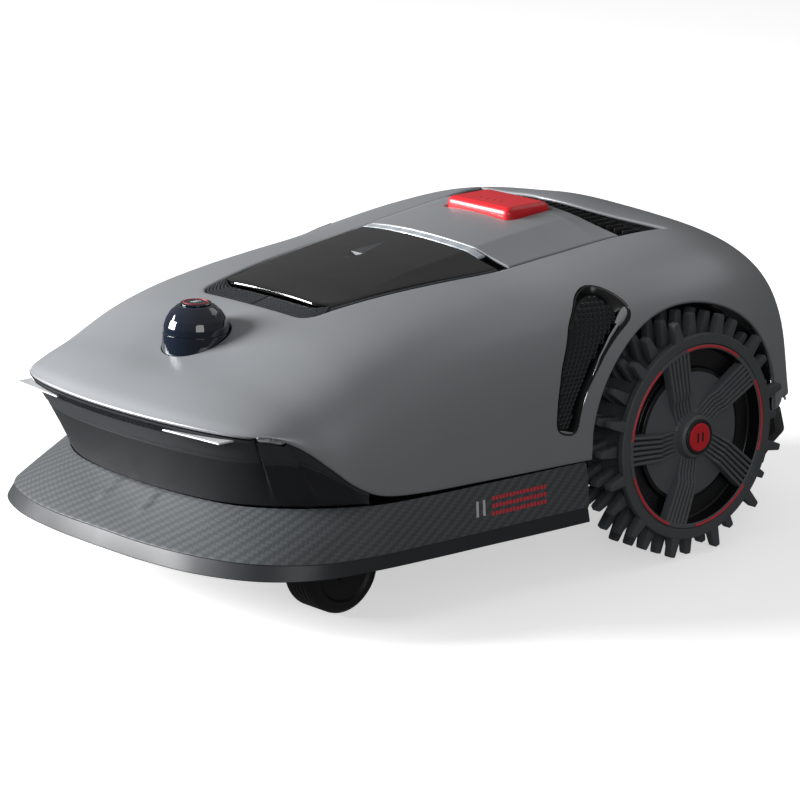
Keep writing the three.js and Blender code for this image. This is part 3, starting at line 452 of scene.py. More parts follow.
# cover skin
# one row per section from nose to tail: crown y, crown z, edge x, y, z, full, rise, sweep
coverSections = np.array([
    [-306, 157, 143, -266, 153, .62, .5, -16], [-293, 167, 152, -256, 150, .68, .6, -12],
    [-271, 178, 161, -241, 141, .72, .7, -7], [-243, 188, 169, -223, 126, .76, .78, -3],
    [-212, 199, 176, -205, 111, .8, .84, 0], [-180, 209.5, 181, -182, 100.5, .83, .87, 0],
    [-140, 218.5, 185, -145, 97, .85, .89, 0], [-95, 225, 188, -95, 96, .87, .9, 0],
    [-45, 229.5, 191.5, -45, 95.5, .89, .9, 0], [10, 233, 196, 8, 95.5, .92, .9, 0],
    [65, 239.5, 205, 65, 96, .94, .88, 0], [126, 246, 211.5, 126, 97, .94, .86, 0],
    [180, 249, 210, 178, 98, .92, .86, 0], [222, 243, 203, 212, 99, .89, .86, 0],
    [254, 230, 194, 233, 100, .84, .86, 4], [275, 213, 187, 244, 101, .79, .86, 9],
    [288, 186, 182, 250, 101.5, .75, .84, 14], [300, 144, 179, 254, 102, .72, .7, 18],
    [309, 103, 177, 258, 102, .68, .5, 20]])
lastSection = len(coverSections) - 1
scoop = {"height": 9, "width": 55, "front": 150, "rear": 250}
dish = {"y": -220, "radius": 46, "depth": 2}


def coverPoint(u, v):
    u, v = np.broadcast_arrays(np.asarray(u, float), np.asarray(v, float))
    keys = np.vstack([2 * coverSections[0] - coverSections[1], coverSections,
                      2 * coverSections[-1] - coverSections[-2]])
    i = np.clip(np.floor(u), 0, lastSection - 1).astype(int)
    a, b, c, d = (keys[i + k] for k in range(4))
    t = (u - i)[..., None]
    row = b + 0.5 * t * (c - a + t * (2 * a - 5 * b + 4 * c - d + t * (3 * (b - c) + d - a)))
    cy, cz, ex, ey, ez, full, rise, sweep = np.moveaxis(row, -1, 0)
    s = np.abs(v)
    zero = np.zeros_like(cy)
    ends = [np.stack(p, -1) for p in ((zero, cy, cz), (full * ex, cy, cz),
                                      (ex, ey + sweep, mix(ez, cz, rise)), (ex, ey, ez))]
    weights = ((1 - s) ** 3, 3 * s * (1 - s) ** 2, 3 * s * s * (1 - s), s ** 3)
    p = sum(w[..., None] * e for w, e in zip(weights, ends))
    fade = smooth((scoop["rear"] - p[..., 1]) / (scoop["rear"] - scoop["front"]))
    bulge = np.exp(-(p[..., 0] / scoop["width"]) ** 2) * fade * smooth((p[..., 1] - 90) / 50)
    away = np.hypot(p[..., 0], p[..., 1] - dish["y"]) / dish["radius"]
    p[..., 2] += scoop["height"] * bulge - dish["depth"] * smooth(1.35 - away)
    p[..., 0] *= np.where(v < 0, -1, 1)
    return p


def coverNormal(u, v):
    step = 1e-3
    p = coverPoint(u, v)
    n = np.cross(coverPoint(u, v + step) - p, coverPoint(u + step, v) - p)
    n /= np.maximum(np.linalg.norm(n, axis=-1, keepdims=True), 1e-12)
    return np.where(n[..., 2:] < -0.6, -n, n)


def coverOffset(u, v, distance):
    return coverPoint(u, v) + coverNormal(u, v) * np.asarray(distance)[..., None]


def coverUv(x, y):  # skin parameters above a plan position
    x, y = np.broadcast_arrays(np.asarray(x, float), np.asarray(y, float))
    u, v = lastSection * np.clip((y + 306) / 620, 0.05, 0.9), x / 200
    for _ in range(60):
        p = coverPoint(u, v)
        u = u + np.clip((y - p[..., 1]) / 36, -1, 1)
        v = np.clip(v + (x - p[..., 0]) / 300, 0, 1)
    return u, v


def coverSideUv(y, z):  # skin parameters seen from the side
    y, z = np.broadcast_arrays(np.asarray(y, float), np.asarray(z, float))
    u, v = np.full(y.shape, 11.0), np.full(y.shape, 0.8)
    for _ in range(90):
        p = coverPoint(u, v)
        u = u + np.clip((y - p[..., 1]) / 45, -1, 1)
        v = np.clip(v - (z - p[..., 2]) / 400, 0.3, 1)
    return u, v


# cockpit surface
cockpit = {"front": -161, "corner": 16, "frontHalf": 52.5, "rearMid": 150, "rearSide": 184}
cockpitSide = [(-136, 70), (-60, 82.5), (16, 95), (70, 100), (127, 104), (184, 112)]
cockpitCrown = [(-161, 217), (-150, 220.3), (-100, 231), (-44, 241), (2, 247),
                (40, 252), (76, 256), (117, 259), (150, 257)]
crease = {"x": 62, "drop": 5.5}
lid = {"front": -141, "cornerRound": 8, "rearMid": 2, "rearBow": 13, "thick": 3}
trim = {"front": -136, "rear": 15, "gap": 1.2, "thick": 4, "below": 0.8}
strip = {"long": 8, "thick": 3, "half": 74}
panelRear = 131
stop = {"y": 100.5, "halfX": 38, "halfY": 24.5, "top": 263.5}


def lookup(table, at):
    xs, values = (np.array(c, float) for c in zip(*table))
    at = np.asarray(at, float)
    inside = np.interp(at, xs, values)
    low = values[0] + (at - xs[0]) * (values[1] - values[0]) / (xs[1] - xs[0])
    high = values[-1] + (at - xs[-1]) * (values[-1] - values[-2]) / (xs[-1] - xs[-2])
    return np.where(at < xs[0], low, np.where(at > xs[-1], high, inside))


def cockpitEdge(y):
    return lookup(cockpitSide, y)


edgePlaces = np.arange(-175.0, 200.0, 1.0)
edgeHeights = coverPoint(*coverUv(cockpitEdge(edgePlaces), edgePlaces))[:, 2]


def cockpitZ(x, y):
    x, y = np.broadcast_arrays(np.asarray(x, float), np.asarray(y, float))
    edge = cockpitEdge(y)
    edgeZ = np.interp(y, edgePlaces, edgeHeights)
    crownZ = lookup(cockpitCrown, y)
    creaseX = np.minimum(crease["x"], edge - 12)
    creaseZ = mix(crownZ, np.maximum(crownZ - crease["drop"], edgeZ), smooth((y + 165) / 60))
    a = np.abs(x)
    middle = crownZ - (crownZ - creaseZ) * (a / creaseX) ** 2
    return np.where(a <= creaseX, middle, mix(creaseZ, edgeZ, (a - creaseX) / (edge - creaseX)))


def cockpitFront(f):
    turn = cockpit["corner"] * math.pi / 2
    run = np.asarray(f, float) * (cockpit["frontHalf"] + turn)
    angle = np.maximum(run - cockpit["frontHalf"], 0) / cockpit["corner"]
    x = np.minimum(run, cockpit["frontHalf"]) + cockpit["corner"] * np.sin(angle)
    return np.stack([x, cockpit["front"] + cockpit["corner"] * (1 - np.cos(angle))], -1)


def cockpitFlank(f):
    y = mix(cockpit["front"] + cockpit["corner"], cockpit["rearSide"], np.asarray(f, float))
    return np.stack([cockpitEdge(y), y], -1)


def cockpitRear(f):
    back = 1 - np.asarray(f, float)
    return np.stack([back * cockpitEdge(cockpit["rearSide"]),
                     mix(cockpit["rearMid"], cockpit["rearSide"], back ** 1.3)], -1)


def lidMargin(y):
    return mix(5.5, 2.5, smooth((np.asarray(y, float) + 136) / 150))


def lidFront(s):
    return lid["front"] + lid["cornerRound"] * np.maximum(0, (np.abs(s) - 0.7) / 0.3) ** 2


def lidRear(s):
    return lid["rearMid"] + lid["rearBow"] * s * s


def cockpitGrid(plan, along, across, lift=0.0):
    s, t = np.meshgrid(np.linspace(-1, 1, across), np.linspace(0, 1, along))
    x, y = plan(s, t)
    return np.stack([x, y, cockpitZ(x, y) + lift], -1)


# cover shell
arch = {"y": 123, "z": 101, "radius": 104}
wall = 3


def coverBoundary():
    nose = np.stack([np.zeros(40), np.linspace(0, 1, 40)], -1)
    angles = np.linspace(math.pi + 0.03, -0.03, 70)
    archRun = np.stack(coverSideUv(arch["y"] + arch["radius"] * np.cos(angles),
                                   arch["z"] + arch["radius"] * np.sin(angles)), -1)
    before = np.stack([np.linspace(0.25, archRun[0, 0] - 0.15, 48), np.ones(48)], -1)
    after = np.stack([np.linspace(archRun[-1, 0] + 0.15, 17.75, 26), np.ones(26)], -1)
    foot = [[archRun[0, 0], 1]], [[archRun[-1, 0], 1]]
    rear = np.stack([np.full(40, lastSection), np.linspace(1, 0, 40)], -1)
    return nose, np.concatenate([before, foot[0], archRun, foot[1], after]), rear


def planShares(run):
    p = coverPoint(run[:, 0], run[:, 1])[:, :2]
    steps = np.concatenate([[0], np.linalg.norm(np.diff(p, axis=0), axis=1)])
    return np.cumsum(steps) / steps.sum()


def coverGrid(steps):
    nose, flank, rear = coverBoundary()
    side = planShares(np.concatenate([nose[-1:], flank, rear[:1]]))[1:-1]
    plan = np.concatenate([cockpitFront(planShares(nose)), cockpitFlank(side),
                           cockpitRear(planShares(rear))])
    inner = np.stack(coverUv(plan[:, 0], plan[:, 1]), -1)
    outer = np.concatenate([nose, flank, rear])
    t = np.linspace(0, 1, steps)[None, :, None]
    uv = inner[:, None] * (1 - t) + outer[:, None] * t
    flip = np.array([-1, 1, 1])
    half, normals = coverPoint(uv[..., 0], uv[..., 1]), coverNormal(uv[..., 0], uv[..., 1])
    normals[0, :, 0] = normals[-1, :, 0] = 0
    return (np.concatenate([half, half[1:-1][::-1] * flip]),
            np.concatenate([normals, normals[1:-1][::-1] * flip]))


# shaping helpers on top of the surfaces
def shell(name, grid, thick, loop=False, up=(0, 0, 1), rim=3, normals=None):
    # closed sheet under a grid of skin points, with half-round rims inside its outline
    grid = np.array(grid, float)
    normals = gridNormals(grid, loop) if normals is None else normals
    if (normals @ np.array(up, float)).mean() < 0:
        normals = -normals
    half = thick / 2
    middle = grid - normals * half
    turnAngles = [math.pi * k / (2 * rim) for k in range(2 * rim + 1)]

    def across(row, normal):
        def end(at, inner):
            way = row[at] - row[inner]
            way = way / max(np.linalg.norm(way), 1e-9)
            return [row[at] - way * half + half * (normal[at] * math.cos(a) + way * math.sin(a))
                    for a in turnAngles]
        top = row[1:-1] + normal[1:-1] * half
        low = row[1:-1] - normal[1:-1] * half
        return np.array([*top, *end(-1, -2), *low[::-1], *end(0, 1)[::-1]])

    if loop:
        return stitch(name, [across(middle[r], normals[r]) for r in range(len(grid))], True)
    rings = []
    for at, inner in ((0, 1), (-1, -2)):
        way = middle[at] - middle[inner]
        way /= np.maximum(np.linalg.norm(way, axis=1, keepdims=True), 1e-9)
        flat = [middle[at] - way * half * (1 - math.sin(a)) for a in turnAngles[:rim + 1]]
        rounded = [across(m, normals[at] * max(math.cos(a), 0.02)) for m, a in zip(flat, turnAngles)]
        rings.append(rounded)
    body = [across(middle[r], normals[r]) for r in range(1, len(grid) - 1)]
    return stitch(name, [*rings[0][::-1], *body, *rings[1]], caps=True)


def sweep(name, sections, slotOf=None, flatUv=False):
    # skin through sections; with flatUv the UV map holds millimetres along and across
    sections = np.array(sections, float)
    if not flatUv:
        return stitch(name, sections, False, slotOf, caps=True)
    middle = sections.mean(axis=1)
    along = np.concatenate([[0], np.cumsum(np.linalg.norm(np.diff(middle, axis=0), axis=1))])
    looped = np.concatenate([sections, sections[:, :1]], axis=1)
    down = np.cumsum(np.linalg.norm(np.diff(looped, axis=1), axis=2), axis=1).mean(axis=0)
    down = np.concatenate([[0], down])
    return stitch(name, sections, False, slotOf, caps=True,
                  uvOf=lambda r, i: (along[min(r, len(along) - 1)], down[min(i, len(down) - 1)]))


def halfToHalf(section, count):
    half = [np.array(section(i / (count - 1)), float) for i in range(count)]
    other = [p * np.array([-1, 1, 1]) for p in half[1:]]
    return [*other[::-1], *half]


def unit(v):
    return v / max(np.linalg.norm(v), 1e-9)


# geometry nodes: copies of one part on points
def copiesTree(name):
    # points carry "turn" (Euler angles); named inputs choose the part, its size and its finish
    tree = bpy.data.node_groups.new(name, "GeometryNodeTree")
    face = tree.interface
    face.new_socket("Geometry", in_out="INPUT", socket_type="NodeSocketGeometry")
    face.new_socket("Part", in_out="INPUT", socket_type="NodeSocketObject")
    face.new_socket("Part Size", in_out="INPUT", socket_type="NodeSocketFloat")
    face.new_socket("Finish", in_out="INPUT", socket_type="NodeSocketMaterial")
    face.new_socket("Geometry", in_out="OUTPUT", socket_type="NodeSocketGeometry")
    given = addNode(tree, "NodeGroupInput")
    part = addNode(tree, "GeometryNodeObjectInfo", links={"Object": given.outputs["Part"]})
    turn = addNode(tree, "GeometryNodeInputNamedAttribute", {"data_type": "FLOAT_VECTOR", "Name": "turn"})
    angle = addNode(tree, "FunctionNodeEulerToRotation", links={0: turn.outputs[0]})
    placed = addNode(tree, "GeometryNodeInstanceOnPoints", links={
        "Points": given.outputs[0], "Instance": part.outputs["Geometry"],
        "Rotation": angle.outputs[0], "Scale": given.outputs["Part Size"]})
    real = addNode(tree, "GeometryNodeRealizeInstances", links={0: placed.outputs[0]})
    painted = addNode(tree, "GeometryNodeSetMaterial", links={
        "Geometry": real.outputs[0], "Material": given.outputs["Finish"]})
    done = addNode(tree, "NodeGroupOutput")
    tree.links.new(painted.outputs[0], done.inputs[0])
    return tree


def runTree(name, host, tree, values):
    # evaluate a tree on a mesh and give back a plain mesh
    piece = bpy.data.objects.new(name, host)
    bpy.context.scene.collection.objects.link(piece)
    modifier = piece.modifiers.new("copies", "NODES")
    modifier.node_group = tree
    for item in tree.interface.items_tree:
        if item.in_out == "INPUT" and item.name in values:
            modifier[item.identifier] = values[item.name]
    graph = bpy.context.evaluated_depsgraph_get()
    result = bpy.data.meshes.new_from_object(piece.evaluated_get(graph), depsgraph=graph)
    bpy.data.objects.remove(piece)
    return result


copyOnPoints = copiesTree("copy_part_on_points")


def copies(name, part, places, turns, finish, size=1.0):
    host = bpy.data.meshes.new(name + "_points")
    host.from_pydata([tuple(float(c) * mm for c in p) for p in places], [], [])
    attribute = host.attributes.new("turn", "FLOAT_VECTOR", "POINT")
    attribute.data.foreach_set("vector", np.array(turns, np.float32).ravel())
    partObject = bpy.data.objects.new(name + "_part", part)
    bpy.context.scene.collection.objects.link(partObject)
    result = runTree(name, host, copyOnPoints, {"Part": partObject, "Part Size": size, "Finish": finish})
    bpy.data.objects.remove(partObject)
    return result


def turnTo(normal, along):
    # Euler angles that carry +Z to `normal` and +X towards `along`
    z = Vector(normal).normalized()
    x = (Vector(along) - z * Vector(along).dot(z)).normalized()
    return tuple(Matrix((x, z.cross(x), z)).transposed().to_euler())


# body shells
ventOutline = [(-16, 122), (5, 116), (8, 130), (14, 147), (24, 162), (39, 180), (54, 192), (68, 199.5),
               (72.5, 206), (70, 214), (64, 221), (55, 224.5), (45, 223), (32, 218), (11, 201), (-6, 172),
               (-13, 147)]


def inset(outline, distance):
    # closed anticlockwise outline moved inwards
    p = np.array(outline, float)
    edge = np.roll(p, -1, 0) - p
    normal = np.stack([-edge[:, 1], edge[:, 0]], 1)
    normal /= np.linalg.norm(normal, axis=1, keepdims=True)
    before = np.roll(normal, 1, 0)
    share = 1 + (before * normal).sum(1)
    return p + (before + normal) * (distance / np.maximum(share, 0.3))[:, None]


def resample(outline, count, rounding):
    # closed outline with rounded corners as evenly spaced points
    p = np.array(fillet(outline, rounding, 5, closed=True))
    loop = np.vstack([p, p[:1]])
    run = np.concatenate([[0], np.cumsum(np.linalg.norm(np.diff(loop, axis=0), axis=1))])
    at = np.linspace(0, run[-1], count, endpoint=False)
    line = np.stack([np.interp(at, run, loop[:, k]) for k in (0, 1)], 1)
    for _ in range(10):  # soften what is left of the corners
        line = (np.roll(line, 1, 0) + 2 * line + np.roll(line, -1, 0)) / 4
    return line


def prismX(name, outline, x0, x1):
    return extrude(name, [tuple(p) for p in outline], x0, x1, axis="X")


coverSizes = {"radialSteps": 56, "sensorHole": 27.6, "sensorY": -216}
coverSkin, coverNormals = coverGrid(coverSizes["radialSteps"])
coverMesh = shell("cover", coverSkin, wall, loop=True, normals=coverNormals)
ventLine = resample(ventOutline, 140, 5.0)
ventCuts = [prismX("vent_cut", ventLine, 100, 230)]
ventCuts.append(mirrorCopy(ventCuts[0]))
sensorHole = coverSizes["sensorHole"]
sensorCut = extrude("sensor_cut", [(sensorHole * math.cos(a),
                                    coverSizes["sensorY"] + sensorHole * math.sin(a))
                                   for a in np.linspace(0, 2 * math.pi, 72, endpoint=False)], 120, 240)
coverMesh = cutWith(coverMesh, [*ventCuts, sensorCut], "cover_cut")
finishMesh("hood_cover", coverMesh, "base", [silverPaint], 40, ["top_cover"])
print("cover built", len(coverMesh.polygons))

noseFoot = [(0, -273.4, 91), (48, -271, 91.5), (90, -263, 92), (124, -247, 93), (150, -224, 94),
            (167, -203, 95), (176, -192, 95.5)]
# the strip's top, foot and share place the painted shadow under the hood's rim
noseSizes = {"band": 0.3, "undercut": 2.0, "groove": 1.2, "wall": 3.0, "shadowTop": 0.03, "shadowFoot": 0.11,
             "shadowShare": 0.19}


def noseFace(f, t, depth):
    # point of the band at share f from nose to wheel, share t from rim to foot, depth mm inside
    u = np.clip((f - 0.6) / 0.4, 0, 1) * 4.6
    top = coverOffset(u, f / 0.6 if f < 0.6 else 1.0, -3.0) - np.array([0, 0, 0.6])
    foot = railPoint(noseFoot, f)
    inward = unit(np.array([-foot[0], -150 - foot[1], 0]))
    return mix(top, foot, t) + inward * depth * (1 - 0.6 * f)


def noseSection(f):
    b = noseSizes["band"]
    outer = [(0, 0), (b * 0.5, 0.4), (b, 1.2), (b + 0.015, 1.2 + noseSizes["groove"]),
             (b + 0.045, 1.6 + noseSizes["groove"]), (b + 0.07, noseSizes["undercut"]), (0.6, 1.8),
             (0.85, 1.0), (1, 0)]
    inner = [(1, noseSizes["wall"]), (0.6, 4.4), (b, 4.6), (0, noseSizes["wall"])]
    profile = [noseFace(f, t, depth) for t, depth in outer + inner]
    return fillet(profile, [0, 6, .5, .3, .3, .8, 6, 6, .6, .6, 6, 6, .6], 3, closed=True)


def slotSection(f):
    # dark strip just under the hood's rim: a painted shadow of the rim on the band, which reads as a slot
    corners = [(noseSizes["shadowTop"], -0.3), (noseSizes["shadowFoot"], -0.3),
               (noseSizes["shadowFoot"], 1.5), (noseSizes["shadowTop"], 1.5)]
    return [noseFace(f * noseSizes["shadowShare"], t, depth) for t, depth in corners]


noseSplit = 14  # points of the section above the groove, in the lighter plastic
noseMesh = sweep("nose", halfToHalf(noseSection, 80), lambda r, i: 0 if i < noseSplit else 1)
# the strip is painted shadow under the hood's rim, in the near-black recess finish
rimShadowMesh = sweep("slot", halfToHalf(slotSection, 24))
finishMesh("nose_slot", rimShadowMesh, "base", [recessShadePlastic], 30, ())
finishMesh("front_bumper", noseMesh, "base", [bandPlastic, darkPlastic], 30, ["nose_bumper"])

skirtTop = [(0, -271, 90.2), (50, -269, 90.6), (95, -261, 91), (130, -243, 92), (158, -215, 93),
            (178, -180, 94), (186, -130, 94.5), (188.5, -80, 94.5), (191, -30, 94.5), (193, 17, 94.5)]
skirtLip = [(0, -314, 62.4), (55, -312.5, 62), (108, -303, 61.5), (152, -283, 61), (180, -247, 60),
            (190.5, -200, 59), (193, -140, 58.5), (194, -85, 58), (195.5, -32, 58), (197, 17, 58)]
skirtHem = [(0, -319, 49), (57, -317, 49), (112, -308, 49), (158, -286, 49), (184, -249, 48.5),
            (192.5, -200, 48), (194.5, -140, 47), (195.5, -85, 46.5), (197, -32, 46), (198.5, 17, 46)]
skirtSizes = {"crown": 1.6, "lipStep": 0.8, "ridgeAt": 25.9, "ridgeHigh": 1.8, "ridgeWide": 3.2}


def skirtSection(f):
    top, lip, hem = (railPoint(keys, f) for keys in (skirtTop, skirtLip, skirtHem))
    inward = unit(np.array([-hem[0], -120 - hem[1], 0]))
    face = unit(lip - top)
    out = unit(np.array([-inward[0] * -face[2], -inward[1] * -face[2], math.hypot(face[0], face[1])]))
    fromRidge = (abs(lip[0]) - skirtSizes["ridgeAt"]) / skirtSizes["ridgeWide"]
    ridge = skirtSizes["ridgeHigh"] * math.exp(-fromRidge ** 2)

    def onFace(t):
        swell = skirtSizes["crown"] * 4 * t * (1 - t) * 0.5
        lifted = ridge * smooth((t - 0.02) / 0.12) * smooth((0.62 - t) / 0.2)
        return mix(top, lip, t) + out * (swell + lifted)

    inner = [hem + inward * 3, lip + inward * 5 - np.array([0, 0, 4]),
             top + inward * 3 - np.array([0, 0, 4])]
    upper = [onFace(t) for t in np.linspace(0, 0.94, 14)]
    step = lip - out * skirtSizes["lipStep"]
    profile = [*upper, lip, step, hem, *inner]
    radii = [1.0] + [0] * 13 + [0.8, 1.2, 1.6, 1.0, 2, 1.0]
    return fillet(profile, radii, 3, closed=True)


skirtFaceEnd = 4 + 13 + 3  # section points that show the weave: rounded top, face, rounded lip
skirtMesh = sweep("skirt_look", halfToHalf(skirtSection, 130),
                  lambda r, i: 0 if i < skirtFaceEnd else 1, flatUv=True)
finishMesh("carbon_skirt", skirtMesh, "base", [carbonTwill, lipPlastic], 35, ["skirt"])

rearTop = [(0, 306, 99.5), (62, 304, 99.5), (115, 295.5, 99.5), (149, 279, 99.5), (168, 258, 99),
           (181, 240, 98)]
rearHem = [(0, 319, 66), (64, 317, 66), (118, 307, 66), (152, 286, 66.5), (172, 262, 70), (182, 244, 76)]
rearLow = [(0, 306, 44), (60, 303.5, 44), (110, 294, 44), (143, 274, 45), (161, 254, 52), (171, 240, 62)]


def rearSection(f):
    top, hem, low = (railPoint(keys, f) for keys in (rearTop, rearHem, rearLow))
    inward = unit(np.array([-top[0], 120 - top[1], 0]))
    groove = [mix(top, hem, t) + inward * depth for t,
              depth in ((0.3, 0), (0.34, 2), (0.42, 2), (0.46, 0), (0.8, 0))]
    profile = [top, *groove, hem, mix(hem, low, 0.6) + inward * 1.5,
               low, low + inward * 3, hem + inward * 4, top + inward * 3]
    return fillet(profile, [1, .6, .6, .6, .6, 2, 4, 4, 1, 1, 3, 1], 3, closed=True)


rearMesh = sweep("rear_look", halfToHalf(rearSection, 70))
finishMesh("rear_fender", rearMesh, "base", [darkPlastic], 30, ["rear_bumper"])
print("lower shells built")

# cockpit
lidSizes = {"across": 190, "along": 150, "roll": 1.0, "rollWide": 5.0}


def halfWide(y, margin):
    return cockpitEdge(y) - margin


def lidPlan(s, t):
    y = mix(lidFront(s), lidRear(s), t)
    return s * halfWide(y, lidMargin(y)), y


lidGrid = cockpitGrid(lidPlan, lidSizes["along"], lidSizes["across"])
lidY = lidGrid[..., 1]
fromFront = lidY - lidFront(np.linspace(-1, 1, lidSizes["across"]))[None, :]
fromSide = halfWide(lidY, lidMargin(lidY)) - np.abs(lidGrid[..., 0])
rollFront = (1 - np.clip(fromFront / lidSizes["rollWide"], 0, 1)) ** 2
sideFade = mix(1, 0.25, smooth((lidY + 140) / 70))
rollSide = (1 - np.clip(fromSide / lidSizes["rollWide"], 0, 1)) ** 2 * sideFade
lidGrid[..., 2] -= lidSizes["roll"] * np.maximum(rollFront, rollSide)
lidMesh = shell("lid", lidGrid, lid["thick"], up=(0, 0, 1))
notchSizes = {"front": -65, "widest": -53, "rear": -22, "half": 6.5, "deep": 2.5, "reach": 2.2}


def notchCutter():
    # lozenge recess for a fingertip, cut by a pyramid that stands on its deepest point
    low = np.array([0, notchSizes["widest"], float(cockpitZ(0, notchSizes["widest"])) - notchSizes["deep"]])
    top = []
    for x, y in ((0, notchSizes["front"]), (notchSizes["half"], notchSizes["widest"]),
                 (0, notchSizes["rear"]),
                 (-notchSizes["half"], notchSizes["widest"])):
        rim = np.array([x, y, float(cockpitZ(x, y))])
        top.append(low + (rim - low) * notchSizes["reach"])
    return meshFrom("notch", [*top, low], [(0, 1, 2, 3), (1, 0, 4), (2, 1, 4), (3, 2, 4), (0, 3, 4)])


notch = notchCutter()
lidMesh = cutWith(lidMesh, [notch], "lid_cut")
# the notch's faces take the lighter graphite finish: a painted highlight for the light its facets catch
# against the black lid
for polygon in lidMesh.polygons:
    x, y, z = polygon.center / mm
    end = notchSizes["rear"] if y > notchSizes["widest"] else notchSizes["front"]
    share = abs(x) / notchSizes["half"] + (y - notchSizes["widest"]) / (end - notchSizes["widest"])
    above = float(cockpitZ(x, y)) - z < notchSizes["deep"] if share < 0.985 else False
    polygon.material_index = 1 if above else 0
finishMesh("cockpit_lid", lidMesh, "lid", [glossBlack, cellPlastic], 12, ["canopy_lid"])


def trimSection(f):
    front = f < 0.3
    g = f / 0.3 if front else (f - 0.3) / 0.7
    y = trim["front"] if front else float(mix(trim["front"], trim["rear"], g))
    ox, oy = cockpitFront(g) if front else (float(cockpitEdge(y)), y)
    reach = float(halfWide(y, lidMargin(y) + trim["gap"]))
    ix, iy = (reach * g, float(lidFront(g) - 1)) if front else (reach, y)
    outer = coverPoint(*coverUv(ox, oy)) - np.array([0, 0, 1])
    edge = outer + unit(np.array([ix - ox, iy - oy, 0])) * trim["gap"]
    inner = np.array([ix, iy, min(float(cockpitZ(ix, iy)) - trim["below"], edge[2] + 4)])
    return inner, edge


def trimProfile(f):
    inner, edge = trimSection(f)
    drop = np.array([0, 0, trim["thick"]])
    return [inner, mix(inner, edge, 0.5), edge, edge - drop, inner - drop]


trimMesh = sweep("trim_look", halfToHalf(trimProfile, 90))
strands = {"from": 0.012, "to": 0.99, "count": 118, "pitch": 2.9, "sink": 0.15, "slant": 0.9}
weavePlaces, weaveTurns = [], []
for f in np.linspace(strands["from"], strands["to"], strands["count"]):
    inner, edge = trimSection(float(f))
    ahead = trimSection(float(min(f + 0.01, 1)))
    way = unit(ahead[1] - edge)
    span = np.linalg.norm(edge - inner)
    for k in range(int(span // strands["pitch"])):
        place = mix(edge, inner, (k + 0.5) * strands["pitch"] / span)
        normal = np.cross(way, unit(edge - inner))
        normal = normal if normal[2] > 0 else -normal
        for side in (1, -1):
            flip = np.array([side, 1, 1])
            weavePlaces.append(place * flip - np.array([0, 0, strands["sink"]]))
            weaveTurns.append(turnTo(normal * flip, (way + strands["slant"] * unit(inner - edge)) * flip))
sliver = fillet([(-2.3, 0), (0, -0.75), (2.3, 0), (0, 0.75)], 0.4, 1, closed=True)
weavePart = extrude("weave_part", sliver, -0.3, 0.8, bevel=0.25)
weaveMesh = copies("trim_weave", weavePart, weavePlaces, weaveTurns, cellPlastic)
finishMesh("woven_trim", trimMesh, "base", [blackPlastic], 30, ["grille_trim"])
finishMesh("woven_trim_strands", weaveMesh, "base", [cellPlastic], 30, ())


def stripPlan(s, t):
    x = s * strip["half"]
    return x, lidRear(x / 95) + 1 + t * strip["long"]


stripMesh = shell("strip", cockpitGrid(stripPlan, 9, 90, -0.1), strip["thick"])
finishMesh("light_strip", stripMesh, "base", [lightGuide], 30, ["status_light_strip"])


def panelPlan(s, t):
    y = mix(lidRear(s) + 2 + strip["long"], panelRear + 6 * s * s, t)
    return s * halfWide(y, 1), y


def roundedRect(halfX, halfY, radius, steps=8, centre=(0, 0)):
    corners = [(halfX, halfY), (-halfX, halfY), (-halfX, -halfY), (halfX, -halfY)]
    return [(x + centre[0], y + centre[1]) for x, y in fillet(corners, radius, steps, closed=True)]


panelMesh = shell("panel", cockpitGrid(panelPlan, 90, 130), wall)
well = extrude("well", roundedRect(stop["halfX"] + 3.4, stop["halfY"] + 3.4, 10, centre=(0, stop["y"])),
               200, 280)
panelMesh = cutWith(panelMesh, [well], "panel_cut")
finishMesh("centre_console", panelMesh, "base", [silverPaint], 30, ["centre_panel"])

# light surround of the button: a sloping frame let into the console
frameRings = []
for grow, drop in ((3.2, 0.1), (2.6, 0.3), (0.9, 3.2), (0.7, 6.5), (2.2, 6.5), (3.1, 3.0)):
    ring = roundedRect(stop["halfX"] + grow, stop["halfY"] + grow, 7 + grow, centre=(0, stop["y"]))
    frameRings.append([(x, y, float(cockpitZ(x, y)) - drop) for x, y in ring])
frameMesh = stitch("surround", frameRings, loop=True)
finishMesh("stop_surround", frameMesh, "base", [ringGrey], 40, ())


def stopRing(grow, z, dome=0.0):
    radius = max(7 + grow * 0.6, 1.5)
    ring = roundedRect(stop["halfX"] + grow, stop["halfY"] + grow, radius, 10, (0, stop["y"]))
    return [(x, y, z - dome * ((x / stop["halfX"]) ** 2 + ((y - stop["y"]) / stop["halfY"]) ** 2)) for x,
            y in ring]


stopLevels = [(-2.0, stop["top"] - 20), (0, stop["top"] - 19), (0, stop["top"] - 7),
              (-0.3, stop["top"] - 4.6),
              (-1.2, stop["top"] - 2.8), (-2.6, stop["top"] - 1.6), (-4.4, stop["top"] - 0.9)]
stopRings = [stopRing(g, z) for g, z in stopLevels]
stopRings += [stopRing(-4.4 - k * 2.0, stop["top"] - 0.35, 0.28) for k in (0.6, 1.6, 3, 5, 7, 9)]
stopMesh = stitch("stop", stopRings, caps=True)
pill = extrude("pill", roundedRect(1.1, 2.9, 1.0, 4), -0.3, 0.35, bevel=0.12)
pillPlaces = [(x, stop["y"] - 8.5, stop["top"] - 0.75) for x in (-12, -4, 4, 12)]
pillMesh = copies("stop_marks", pill, pillPlaces, [(0, 0, 0)] * 4, dullRed)
finishMesh("stop_key", stopMesh, "stop_button", [redPlastic], 40, ["stop_button"])
finishMesh("stop_key_marks", pillMesh, "stop_button", [dullRed], 40, ())


def grillePlan(s, t):
    y = mix(panelRear + 0.5 + 6 * s * s, cockpit["rearMid"] + 34 * np.abs(s) ** 1.3 - 3, t)
    return s * halfWide(y, 4), y


